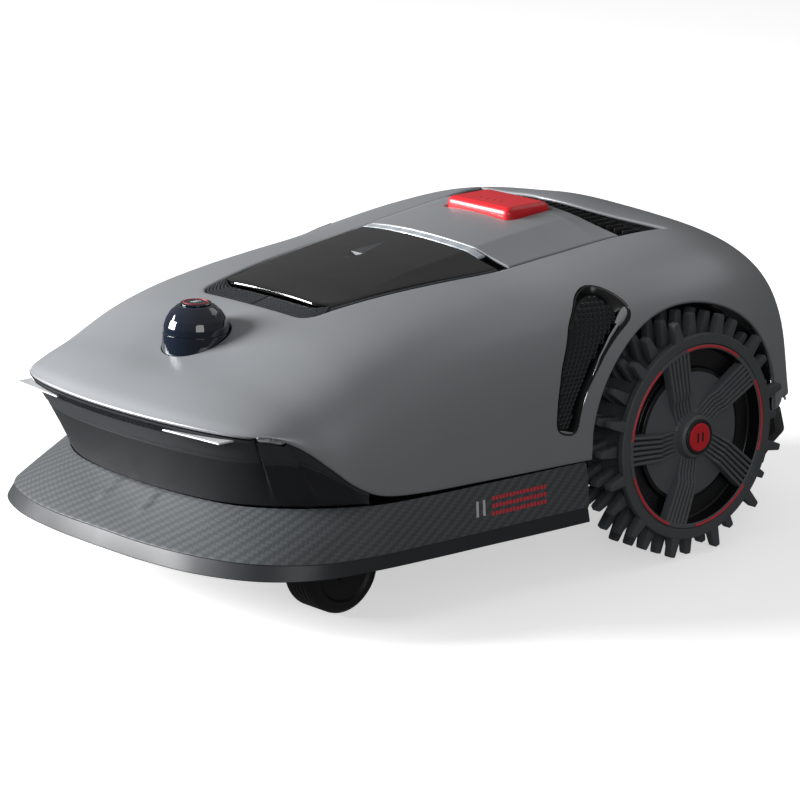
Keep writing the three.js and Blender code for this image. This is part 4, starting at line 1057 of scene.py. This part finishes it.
grilleGrid = cockpitGrid(grillePlan, 12, 60, -7)
grilleMesh = shell("grille", grilleGrid, 4)
finishMesh("rear_vent_bed", grilleMesh, "base", [blackPlastic], 30, ["rear_vent_grille"])
finPlaces, finTurns = [], []
for s in np.linspace(-0.93, 0.93, 27):
    x, y = grillePlan(np.array(s), np.array(0.52))
    finPlaces.append((float(x), float(y), float(cockpitZ(x, y)) - 5.6))
    finTurns.append((0, 0, float(-0.25 * s)))
fin = extrude("fin", roundedRect(0.8, 8.5, 0.7, 2), -1.8, 3.2, bevel=0.3)
finMesh = copies("rear_fins", fin, finPlaces, finTurns, blackPlastic)
finishMesh("rear_vent_fins", finMesh, "base", [blackPlastic], 30, ())
print("cockpit built")

# sensor
sensor = {"y": -216, "low": 178}
sensorAt = (0, sensor["y"], sensor["low"])
baseProfile = fillet([(0, 0), (26.4, 0), (27.0, 9), (26.9, 16), (26.2, 22.9), (24.5, 23), (20, 23),
                      (20, 12), (0, 12)],
                     [0, 1, 6, 6, .3, 0, .5, .5, 0], 5)
domeProfile = fillet([(17, 23.3), (26.1, 23.3), (25.4, 28.5), (23.4, 34), (19.8, 39.6), (14.8, 43.6),
                      (12.2, 44.5), (0, 44.5), (0, 42.2),
                      (13.5, 42.0), (18.4, 38), (21.6, 32), (22, 26), (17, 26), (17, 23.3)],
                     [0, .2, 6, 8, 8, 5, 1, 0, 0, 2, 3, 3, .5, .5, 0], 6)
capProfile = fillet([(0, 44.8), (12.2, 44.8), (12.4, 45.4), (11.4, 46.2), (0, 46.4)], [0, .2, .6, .8, 0], 4)
ringProfile = fillet([(9.0, 46.2), (10.0, 46.2), (10.0, 46.55), (9.0, 46.6), (9.0, 46.2)],
                     [0, .1, .1, .1, 0], 2)
for name, profile, steps, finish, replaces, slot in (
        ("sensor_base", baseProfile, 120, domeBlack, ["lidar_base"], "gloss_black"),
        ("sensor_dome", domeProfile, 120, domeBlack, ["lidar_dome"], "gloss_black"),
        ("sensor_cap", capProfile, 96, domeBlack, ["lidar_cap"], "dark_plastic"),
        ("sensor_cap_ring", ringProfile, 96, dullRed, (), "dark_plastic")):
    finishMesh(name, spin(name, profile, steps, centre=sensorAt), "base", [finish], 35, replaces)
capDash = extrude("cap_dash", roundedRect(2.2, 0.5, 0.4, 3), -0.2, 0.15)
capDashPlaces = [(0, sensor["y"] + dy, sensor["low"] + 46.45) for dy in (-2.4, 0, 2.4)]
dashMesh = copies("cap_dashes", capDash, capDashPlaces, [(0, 0, 0.75)] * 3, markWhite)
finishMesh("sensor_cap_dashes", dashMesh, "base", [markWhite], 35, ())
rotorProfile = fillet([(0, 12.4), (13, 12.4), (13, 32), (0, 32)], [0, 1, 1, 0], 3)
rotorMesh = spin("rotor_look", rotorProfile, 48, centre=sensorAt)
finishMesh("sensor_rotor", rotorMesh, "lidar_rotor", [darkPlastic], 35, ["lidar_rotor"])
print("sensor built")

# side vents
ventSizes = {"front": 2.0, "rear": 4.2, "crown": 11.0, "cellPitch": 4.0, "meshDepth": 5.0, "bedLong": 34,
             "bedHigh": 40}


def bezelWidth():
    # narrow along the front, wider down the rear, widest round the upper rear corner
    y, z = ventLine[:, 0], ventLine[:, 1]
    rearward = smooth((y - np.interp(z, [116, 162, 200, 224], [-3, 4, 38, 58])) / 8)
    crown = rearward * smooth((z - 190) / 22) * smooth((y - 46) / 14)
    wide = ventSizes["front"] + rearward * (ventSizes["rear"] - ventSizes["front"])
    wide = wide + crown * (ventSizes["crown"] - wide)
    for _ in range(8):
        wide = (np.roll(wide, 1) + wide + np.roll(wide, -1)) / 3
    return wide


ventWidth = bezelWidth()


def sidePoint(yz, depth):
    yz = np.atleast_2d(np.array(yz, float))
    u, v = coverSideUv(yz[:, 0], yz[:, 1])
    depths = np.broadcast_to(np.asarray(depth, float), (len(yz),))
    return coverPoint(u, v) - coverNormal(u, v) * depths[:, None]


# bezel section: share of its width inwards from the rim, depth below the skin
ventLevels = [(0, 0.5), (0, 0.0), (0.12, -0.5), (0.3, -0.5), (0.42, 0.2), (0.7, 2.6), (1, 4.8), (1, 6.2),
              (0.3, 6.2), (0, 4.0)]
bezelLoops = [sidePoint(inset(ventLine, 0.5 + share * ventWidth), depth) for share, depth in ventLevels]
bezelMesh = stitch("bezel", np.array(bezelLoops), loop=True)
inner = inset(ventLine, 0.7 + ventWidth)


def insideOutline(points, outline):
    inside = np.zeros(len(points), bool)
    a, b = outline, np.roll(outline, -1, 0)
    for (y0, z0), (y1, z1) in zip(a, b):
        crosses = (z0 > points[:, 1]) != (z1 > points[:, 1])
        at = y0 + (points[:, 1] - z0) * (y1 - y0) / (z1 - z0 + 1e-12)
        inside ^= crosses & (points[:, 0] < at)
    return inside


pitch = ventSizes["cellPitch"]
rows = [(y + (r % 2) * pitch / 2, z) for r,
        z in enumerate(np.arange(112, 228, pitch * 0.86)) for y in np.arange(-22, 78, pitch)]
cellPlan = np.array(rows)
cellPlan = cellPlan[insideOutline(cellPlan, inset(inner, 1.7))]
cellPlaces = sidePoint(cellPlan, ventSizes["meshDepth"] + 0.2)
u, v = coverSideUv(cellPlan[:, 0], cellPlan[:, 1])
cellTurns = [turnTo(n, (0, 1, 0)) for n in coverNormal(u, v)]
hexagon = [(pitch * 0.56 * math.cos(a), pitch * 0.56 * math.sin(a))
           for a in np.arange(6) * math.pi / 3 + math.pi / 6]
hexInner = [(x * 0.62, y * 0.62) for x, y in hexagon]
cellRings = [[(x, y, z) for x, y in ring] for ring, z in
             ((hexagon, -0.4), (hexagon, 0.55), ([(x * .9, y * .9) for x, y in hexagon], 0.85),
              (hexInner, 0.3), (hexInner, -0.4))]
cellPart = stitch("cell_part", cellRings, loop=True)
cellsMesh = copies("vent_cells", cellPart, cellPlaces, cellTurns, cellPlastic)


def patchPoints(depth):
    uu, vv = np.meshgrid(np.linspace(8, 10.9, ventSizes["bedLong"]),
                         np.linspace(0.32, 0.985, ventSizes["bedHigh"]),
                         indexing="ij")
    return coverPoint(uu, vv) - coverNormal(uu, vv) * depth


patchMesh = shell("vent_bed", patchPoints(5.1), 0.9, up=(1, 0, 0), rim=1)
bedMesh = cutWith(patchMesh, [prismX("bed_cut", inner, 100, 230)], "bed_cut", "INTERSECT")


def chromePath(points, wide, name):
    # a slim rounded bar laid along the bezel's inner wall
    line = np.array(points, float)
    run = np.concatenate([[0], np.cumsum(np.linalg.norm(np.diff(line[:, :2], axis=0), axis=1))])
    at = np.linspace(0, run[-1], 40)
    y, z, depth, size = (np.interp(at, run, line[:, k]) for k in range(4))
    centre = sidePoint(np.stack([y, z], 1), depth)
    uu, vv = coverSideUv(y, z)
    normals = coverNormal(uu, vv)
    ways = np.gradient(centre, axis=0)
    sections = []
    for c, n, w, s in zip(centre, normals, ways, size):
        side = unit(np.cross(unit(w), n))
        sections.append([c + side * s * wide * math.cos(a) + n * 0.7 * math.sin(a)
                         for a in np.linspace(0, 2 * math.pi, 10, endpoint=False)])
    return sweep(name, sections)


tipBar = chromePath([(69.5, 208.5, 0.2, .7), (64, 205, 0.2, 1), (58.5, 201, 0.4, 1),
                     (54, 197.5, 1.0, .7)], 3.4, "tip_bar")
edgeBar = chromePath([(55, 198, 0.8, 1), (44, 189.5, 0.6, .9), (31, 176, 0.5, .8), (20.5, 159, 0.5, .7),
                      (12, 141, 0.6, .7),
                      (6, 126, 0.6, .6)], 1.2, "edge_bar")
footBar = chromePath([(-12.5, 123.6, 0.4, .5), (-5, 121.2, 0.3, 1), (1.5, 119.6, 0.4, .6)], 1.3, "foot_bar")
accentMesh = join("accent", tipBar, edgeBar, footBar)
finishPairs("base", (("vent_bezel", bezelMesh, [bezelBlack], 35, ["side_vent_bezel_{}"], "gloss_black"),
                     ("vent_bed", bedMesh, [blackPlastic], 35, ["side_vent_mesh_{}"], "black_plastic"),
                     ("vent_cells", cellsMesh, [cellPlastic], 35, (), "black_plastic"),
                     ("vent_accent", accentMesh, [chrome], 35, (), "gloss_black")))
print("vents built")

# charging contacts
contactGrid = []
for x in np.linspace(66.5, 126.5, 24):
    low, high = 0.0, 1.0
    for _ in range(30):
        half = (low + high) / 2
        low, high = (half, high) if coverPoint(0, half)[0] < x else (low, half)
    rimY = float(coverPoint(0, low)[1])
    front = mix(-302, -296, (x - 66.5) / 60)
    contactGrid.append([(x, y, 151) for y in np.linspace(front, rimY + 1.5, 8)])
contactMesh = shell("contact", contactGrid, 1.6)
# the plates' near-white finish partly paints their reflection of the bright surroundings
finishPairs("base", (("charging_plate", contactMesh, [nickelPaintedReflection], 35, ["charging_contact_{}"], "steel"),))

# decal on the skirt's flank: rows of red dashes and two white bars
dashPart = extrude("dash_part", [(-1.3, -1.5), (1.1, -1.5), (1.7, 1.5), (-0.7, 1.5)], -0.15, 0.18)
barPart = extrude("bar_part", [(-1.0, -6), (1.2, -6), (2.2, 6), (0, 6)], -0.15, 0.18)


def onSkirt(y, t):
    # point, normal and forward direction of the skirt's left flank at length y
    low, high = 0.5, 1.0
    for _ in range(30):
        half = (low + high) / 2
        low, high = (half, high) if railPoint(skirtLip, half)[1] < y else (low, half)
    section = [railPoint(keys, low) for keys in (skirtTop, skirtLip)]
    ahead = [railPoint(keys, low + 0.01) for keys in (skirtTop, skirtLip)]
    way = unit(mix(*ahead, t) - mix(*section, t))
    down = unit(section[1] - section[0])
    normal = unit(np.cross(down, way))
    normal = normal if normal[0] > 0 else -normal
    swell = skirtSizes["crown"] * 2 * t * (1 - t)
    return mix(*section, t) + normal * (swell + 0.1), normal, way


dashPlaces, dashTurns = [], []
for y in np.arange(-83, -26, 3.6):
    for t in (0.34, 0.5, 0.66):
        place, normal, way = onSkirt(float(y), t)
        dashPlaces.append(place)
        dashTurns.append(turnTo(normal, way))
barPlaces, barTurns = [], []
for y in (-100, -93):
    place, normal, way = onSkirt(float(y), 0.5)
    barPlaces.append(place)
    barTurns.append(turnTo(normal, way))
decalMesh = copies("skirt_dashes", dashPart, dashPlaces, dashTurns, redPaint)
barsMesh = copies("skirt_bars", barPart, barPlaces, barTurns, markWhite)
finishPairs("base", (("skirt_dashes", decalMesh, [redPaint], 35, (), "red_plastic"),
                     ("skirt_bars", barsMesh, [markWhite], 35, (), "carbon_look")))

# drive wheels
wheel = {"y": 123, "z": 99, "face": 211, "root": 84, "bore": 75, "rows": 6, "pitch": 8.0, "lugs": 12,
         "spokes": 5, "ribs": 6, "spokeTurn": 0.355}


def lugRingTree(name):
    # rows of lugs round the tyre, every other row shifted by half a step
    tree = bpy.data.node_groups.new(name, "GeometryNodeTree")
    face = tree.interface
    face.new_socket("Geometry", in_out="INPUT", socket_type="NodeSocketGeometry")
    for title, kind in (("Lug", "NodeSocketObject"), ("Rows", "NodeSocketInt"), ("Lugs", "NodeSocketInt"),
                        ("Pitch", "NodeSocketFloat"), ("Radius", "NodeSocketFloat"),
                        ("Face", "NodeSocketFloat"),
                        ("Finish", "NodeSocketMaterial")):
        face.new_socket(title, in_out="INPUT", socket_type=kind)
    face.new_socket("Geometry", in_out="OUTPUT", socket_type="NodeSocketGeometry")
    given = addNode(tree, "NodeGroupInput").outputs

    made = {title: given[title] for title in ("Rows", "Lugs", "Pitch", "Radius", "Face")}
    made["index"] = addNode(tree, "GeometryNodeInputIndex").outputs[0]
    for title, operation, *operands in (
            ("quotient", "DIVIDE", "index", "Lugs"), ("row", "FLOOR", "quotient"),
            ("place", "MODULO", "index", "Lugs"), ("nextRow", "ADD", "row", 1.0),
            ("odd", "MODULO", "nextRow", 2.0), ("shift", "MULTIPLY", "odd", 0.5),
            ("step", "ADD", "place", "shift"), ("turned", "MULTIPLY", "step", 2 * math.pi),
            ("angle", "DIVIDE", "turned", "Lugs"), ("middle", "ADD", "row", 0.5),
            ("inward", "MULTIPLY", "middle", "Pitch"), ("x", "SUBTRACT", "Face", "inward"),
            ("cosine", "COSINE", "angle"), ("y", "MULTIPLY", "cosine", "Radius"), ("sine", "SINE", "angle"),
            ("z", "MULTIPLY", "sine", "Radius"), ("count", "MULTIPLY", "Rows", "Lugs")):
        sources = dict(enumerate(made.get(value, value) for value in operands))
        made[title] = addNode(tree, "ShaderNodeMath", {"operation": operation}, sources).outputs[0]
    place = addNode(tree, "ShaderNodeCombineXYZ", links={0: made["x"], 1: made["y"], 2: made["z"]})
    points = addNode(tree, "GeometryNodePoints", links={
        "Count": made["count"], "Position": place.outputs[0]})
    turn = addNode(tree, "ShaderNodeCombineXYZ", links={0: made["angle"]})
    rotation = addNode(tree, "FunctionNodeEulerToRotation", links={0: turn.outputs[0]})
    lug = addNode(tree, "GeometryNodeObjectInfo", links={"Object": given["Lug"]})
    placed = addNode(tree, "GeometryNodeInstanceOnPoints", links={
        "Points": points.outputs[0], "Instance": lug.outputs["Geometry"], "Rotation": rotation.outputs[0]})
    real = addNode(tree, "GeometryNodeRealizeInstances", links={0: placed.outputs[0]})
    painted = addNode(tree, "GeometryNodeSetMaterial",
                      links={"Geometry": real.outputs[0], "Material": given["Finish"]})
    done = addNode(tree, "NodeGroupOutput")
    tree.links.new(painted.outputs[0], done.inputs[0])
    return tree


# lug standing along +Y from the root circle, 8 mm long on the axle
lugShape = fillet([(-8, -5.6), (-1.5, -4.6), (13.2, -2.9), (15, -2.2), (15, 2.2), (13.2, 2.9),
                   (-1.5, 4.6), (-8, 5.6)],
                  [0, 2, 1, .6, .6, 1, 2, 0], 3, closed=True)
lugPart = extrude("lug_part", lugShape, -3.7, 3.7, axis="X", bevel=0.4)
lugObject = bpy.data.objects.new("lug_part", lugPart)
bpy.context.scene.collection.objects.link(lugObject)
empty = bpy.data.meshes.new("lug_host")
empty.from_pydata([(0, 0, 0)], [], [])
lugRing = runTree("lug_ring", empty, lugRingTree("lug_rows"), {
    "Lug": lugObject, "Rows": wheel["rows"], "Lugs": wheel["lugs"], "Pitch": wheel["pitch"] * mm,
    "Radius": wheel["root"] * mm, "Face": wheel["face"] * mm, "Finish": tyreRubber})
bpy.data.objects.remove(lugObject)
face = wheel["face"]
carcassProfile = fillet([(70, 163), (77.5, 163), (77.5, face - 6.5), (83.4, face - 5.5),
                         (83.6, face - 0.6), (82.6, face),
                         (75.6, face), (75, face - 1), (75, face - 41), (70, face - 42), (70, 163)],
                        [0, 1, 1.5, .5, .5, .5, .5, .5, .5, .5, 0], 4)
carcass = spin("carcass", carcassProfile, 144, axis="X")
tyreMesh = join("tyre_look", carcass, lugRing)
tyreMesh.materials.clear()

rimOut = wheel["bore"] - 0.3
rimProfile = fillet([(0, face - 49), (14, face - 49), (14, face - 40), (rimOut, face - 40),
                     (rimOut, face - 0.6), (rimOut - 0.5, face - 0.2),
                     (rimOut - 3.0, face - 0.2), (rimOut - 3.6, face - 1.0), (rimOut - 4.4, face - 12),
                     (55, face - 13.5), (54, face - 9.5),
                     (51, face - 8.8), (21, face - 7.5), (18.6, face - 6.5), (17.2, face - 0.6),
                     (15.4, face + 0.9), (0, face + 0.9)],
                    [0, 1, 1, 1, .3, .3, .4, .5, 2, 1, .8, .8, 2, 1.5, 1, .8, 0], 4)
# the trough behind the spokes, out to the ring, takes the near-black second finish: painted shade in the
# wheel's well
rimSlots = []
for r, x in rimProfile:
    rimSlots.append(1 if 53.5 < r < rimOut - 3.3 and x > face - 20 else 0)
discMesh = spin("rim_look", rimProfile, 144, axis="X", slotOf=lambda i: rimSlots[i])

# one spoke: ribs side by side that leave the hub low, kink up and run straight to the ring
ribStep = 4.25
ribMeshes = []
for k in range(wheel["ribs"]):
    offset = (k - (wheel["ribs"] - 1) / 2) * ribStep
    path = fillet([(face - 6.6, 14.5), (face - 6.2, 17), (face - 4.6, 32), (face - 1.6, 38),
                   (face - 0.3, 72.6)], [0, 1, 2, 4, 0], 4)
    sections = []
    for x, r in path:
        side = offset * (0.80 + 0.20 * (r - 14) / 55) + 5.5 * smooth((r - 30) / 40) - 2.5
        sections.append([(x + dx, side + dy, r) for dx, dy in
                         ((-8, -1.6), (-1.9, -1.5), (-0.4, -1.1), (0, -0.5), (0, 0.5), (-0.4, 1.1),
                          (-1.9, 1.5), (-8, 1.6))])
    ribMeshes.append(sweep(f"rib_{k}", sections))
ribSet = join("rib_set", *ribMeshes)
spokeHost = [(0, 0, 0)] * wheel["spokes"]
spokeTurns = [(wheel["spokeTurn"] + i * 2 * math.pi / wheel["spokes"], 0,
               0) for i in range(wheel["spokes"])]
spokesMesh = copies("spokes", ribSet, spokeHost, spokeTurns, rimPlastic)

arcMeshes = []
for i in range(wheel["spokes"]):
    start = spokeTurns[i][0] + math.pi / 2 + 0.26
    sections = []
    for a in np.linspace(start, start + 2 * math.pi / wheel["spokes"] - 0.42, 36):
        c, s = math.cos(a), math.sin(a)
        sections.append([(face + dx, (rimOut - 1.5 + dr) * c, (rimOut - 1.5 + dr) * s) for dx, dr in
                         ((-0.4, -1.0), (0.2, -1.0), (0.5, -0.6), (0.5, 0.6), (0.2, 1.0), (-0.4, 1.0))])
    arcMeshes.append(sweep(f"arc_{i}", sections))
arcsMesh = join("arcs", *arcMeshes)

capRim = fillet([(0, face - 4), (14.4, face - 4), (14.4, face + 1.8), (13.4, face + 2.5),
                 (11.9, face + 2.5), (11.7, face + 1.9), (0, face + 1.9)],
                [0, .3, .6, .6, .2, .1, 0], 4)
capRimMesh = spin("cap_rim", capRim, 96, axis="X")
capRed = fillet([(0, face + 1.5), (11.5, face + 1.5), (11.5, face + 2.3), (9.9, face + 2.8),
                 (0, face + 2.9)], [0, .1, .4, 2, 0], 4)
capRedMesh = spin("cap_red", capRed, 96, axis="X")
capBar = extrude("cap_bar", roundedRect(1.0, 4.0, 0.9, 3), -0.1, 0.2)
capBars = copies("cap_bars", capBar, [(face + 2.75, -2.6, 0), (face + 2.75, 2.6, 0)],
                 [turnTo((1, 0, 0), (0, 1, 0))] * 2, darkPlastic)
toAxle = Matrix.Translation((0, wheel["y"] * mm, wheel["z"] * mm))
wheelLooks = (("tread_tyre", tyreMesh, [tyreRubber], 35, ["tyre_{}"], "tyre_rubber"),
              ("wheel_disc", discMesh, [rimPlastic, recessShadePlastic], 32, ["wheel_rim_{}"], "wheel_plastic"),
              ("wheel_spokes", spokesMesh, [rimPlastic], 35, (), "wheel_plastic"),
              ("wheel_red_arcs", arcsMesh, [redPaint], 35, (), "red_plastic"),
              ("cap_ring", capRimMesh, [darkPlastic], 35, (), "dark_plastic"),
              ("red_cap", capRedMesh, [redPlastic], 35, ["hub_cap_{}"], "red_plastic"),
              ("red_cap_bars", capBars, [darkPlastic], 35, (), "dark_plastic"))
for look in wheelLooks:
    moved(look[1], toAxle)
finishPairs("drive_wheel_{}", wheelLooks)

# dark lining of the arch behind each wheel, bent round the tyre
lining = {"radius": 104, "thick": 2.5, "from": 112, "to": 191, "low": -24, "high": 42, "steps": 24}
liningSections = []
for a in np.radians(np.linspace(lining["low"], lining["high"], lining["steps"])):
    rings = [(x, r) for x, r in ((lining["from"], 0), (lining["to"], 0), (lining["to"], lining["thick"]),
                                 (lining["from"], lining["thick"]))]
    liningSections.append([(x, wheel["y"] + (lining["radius"] + r) * math.cos(a),
                            wheel["z"] + (lining["radius"] + r) * math.sin(a))
                           for x, r in rings])
liningMesh = sweep("lining", liningSections)
finishPairs("base", (("arch_lining", liningMesh, [blackPlastic], 35, (), "black_plastic"),))
print("drive wheels built")

# casters
caster = {"x": 124, "y": -186, "radius": 35, "wide": 36}
half = caster["wide"] / 2
treadProfile = [(4.4, -half), (9, -half)]
treadProfile += [(11, -half + 2), (24, -half + 2.5), (26, -half + 0.5), (31, -half)]
treadProfile += [(35, -half + 4.5)]
for x in np.arange(-half + 8.5, half - 6, 5.0):
    treadProfile += [(35, x - 0.6), (34.2, x), (34.2, x + 0.6), (35, x + 1.2)]
treadProfile += [(35, half - 4.5), (31, half), (26, half - 0.5), (24, half - 2.5), (11, half - 2),
                 (9, half), (4.4, half), (4.4, -half)]
treadRadii = [0, .5, .8, 1, 1, 2, 1.2] + [.3] * (len(treadProfile) - 15) + [1.2, 2, 1, 1, .8, .5, 0, 0]
casterWheelMesh = spin("caster_look", fillet(treadProfile, treadRadii, 3), 96, axis="X")
for hand, sign in (("left", 1), ("right", -1)):
    at = Matrix.Translation((sign * caster["x"] * mm, caster["y"] * mm, caster["radius"] * mm))
    finishMesh(f"caster_tread_{hand}", moved(casterWheelMesh.copy(), at), f"caster_wheel_{hand}",
               [casterRubber], 30,
               [f"caster_wheel_{hand}"])

# parts kept from the frame, each with its own finish
carried = {
    blackPlastic: ["front_chassis", "deck_housing", "rear_chassis", "wheel_liner_left", "wheel_liner_right",
                   "caster_fork_left", "caster_fork_right", "cut_height_guide"],
    darkPlastic: ["control_panel"], screenGlass: ["display_screen"],
    buttonGrey: ["power_button", "home_button", "start_button", "ok_button"],
    batteryWrap: ["battery_pack"], circuitBoard: ["main_board"],
    steel: ["cutting_motor", "cutting_disc", "blade_1", "blade_2", "blade_3", "gear_motor_left",
            "gear_motor_right"]}
for material, names in carried.items():
    for name in names:
        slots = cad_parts[name].data.materials
        slots.clear()
        slots.append(material)
print("casters and carried parts done")

# floor, light and camera
floorMaterial, _, floorShader, _ = startMaterial("pale_studio_floor", "#f2f2f2", 0.9)
bpy.ops.mesh.primitive_plane_add(size=40, location=(0, 0, -0.0005))
floor = bpy.context.object
floor.name = "floor"
floor.data.materials.append(floorMaterial)
floorShader.inputs["Emission Color"].default_value = linear("#ffffff")
floorShader.inputs["Emission Strength"].default_value = 0.55
floor.visible_diffuse = False  # the pale floor doesn't wash out the dark undersides
floor.visible_glossy = False

studio = {"skyLow": 0.10, "skyHigh": 0.24, "lights": {  # power, size and place of each soft light
    "key_above_front": (240, (1.5, 1.1), (-2.1, -2.2, 1.15)),
    "fill_front": (10, (1.2, 1.0), (2.2, -1.2, 0.9)), "rear_top": (3, (1.5, 0.8), (0.2, 1.6, 1.8))}}
world = bpy.data.worlds.new("studio")
bpy.context.scene.world = world
world.use_nodes = True
world.node_tree.nodes["Background"].inputs["Color"].default_value = (1, 1, 1, 1)
skyWay = addNode(world.node_tree, "ShaderNodeTexCoord").outputs["Generated"]
skyHeight = addNode(world.node_tree, "ShaderNodeSeparateXYZ", links={0: skyWay}).outputs[2]
skyLevel = addNode(world.node_tree, "ShaderNodeMapRange", {
    "interpolation_type": "SMOOTHSTEP", "From Min": -0.1, "From Max": 0.9, "To Min": studio["skyLow"],
    "To Max": studio["skyHigh"]}, {"Value": skyHeight})
world.node_tree.links.new(skyLevel.outputs[0], world.node_tree.nodes["Background"].inputs["Strength"])


def softLight(name, power, size, place, target=(0, 0, 0.1)):
    light = bpy.data.lights.new(name, "AREA")
    light.shape = "RECTANGLE"
    light.size, light.size_y = size
    light.energy = power
    lamp = bpy.data.objects.new(name, light)
    bpy.context.scene.collection.objects.link(lamp)
    lamp.location = place
    lamp.rotation_euler = (Vector(place) - Vector(target)).to_track_quat("Z", "Y").to_euler()


for name, (power, size, place) in studio["lights"].items():
    softLight(name, power, size, place)

view = {"lens": 176.5, "place": (2.3143, -2.0412, 0.9077), "aim": (0, -0.0066, 0.1102)}
camera = bpy.data.cameras.new("camera")
camera.lens = view["lens"]
cameraObject = bpy.data.objects.new("camera", camera)
bpy.context.scene.collection.objects.link(cameraObject)
cameraObject.location = view["place"]
aim = Vector(view["aim"])
cameraObject.rotation_euler = (cameraObject.location - aim).to_track_quat("Z", "Y").to_euler()
bpy.context.scene.camera = cameraObject
bpy.context.scene.view_settings.view_transform = "Standard"
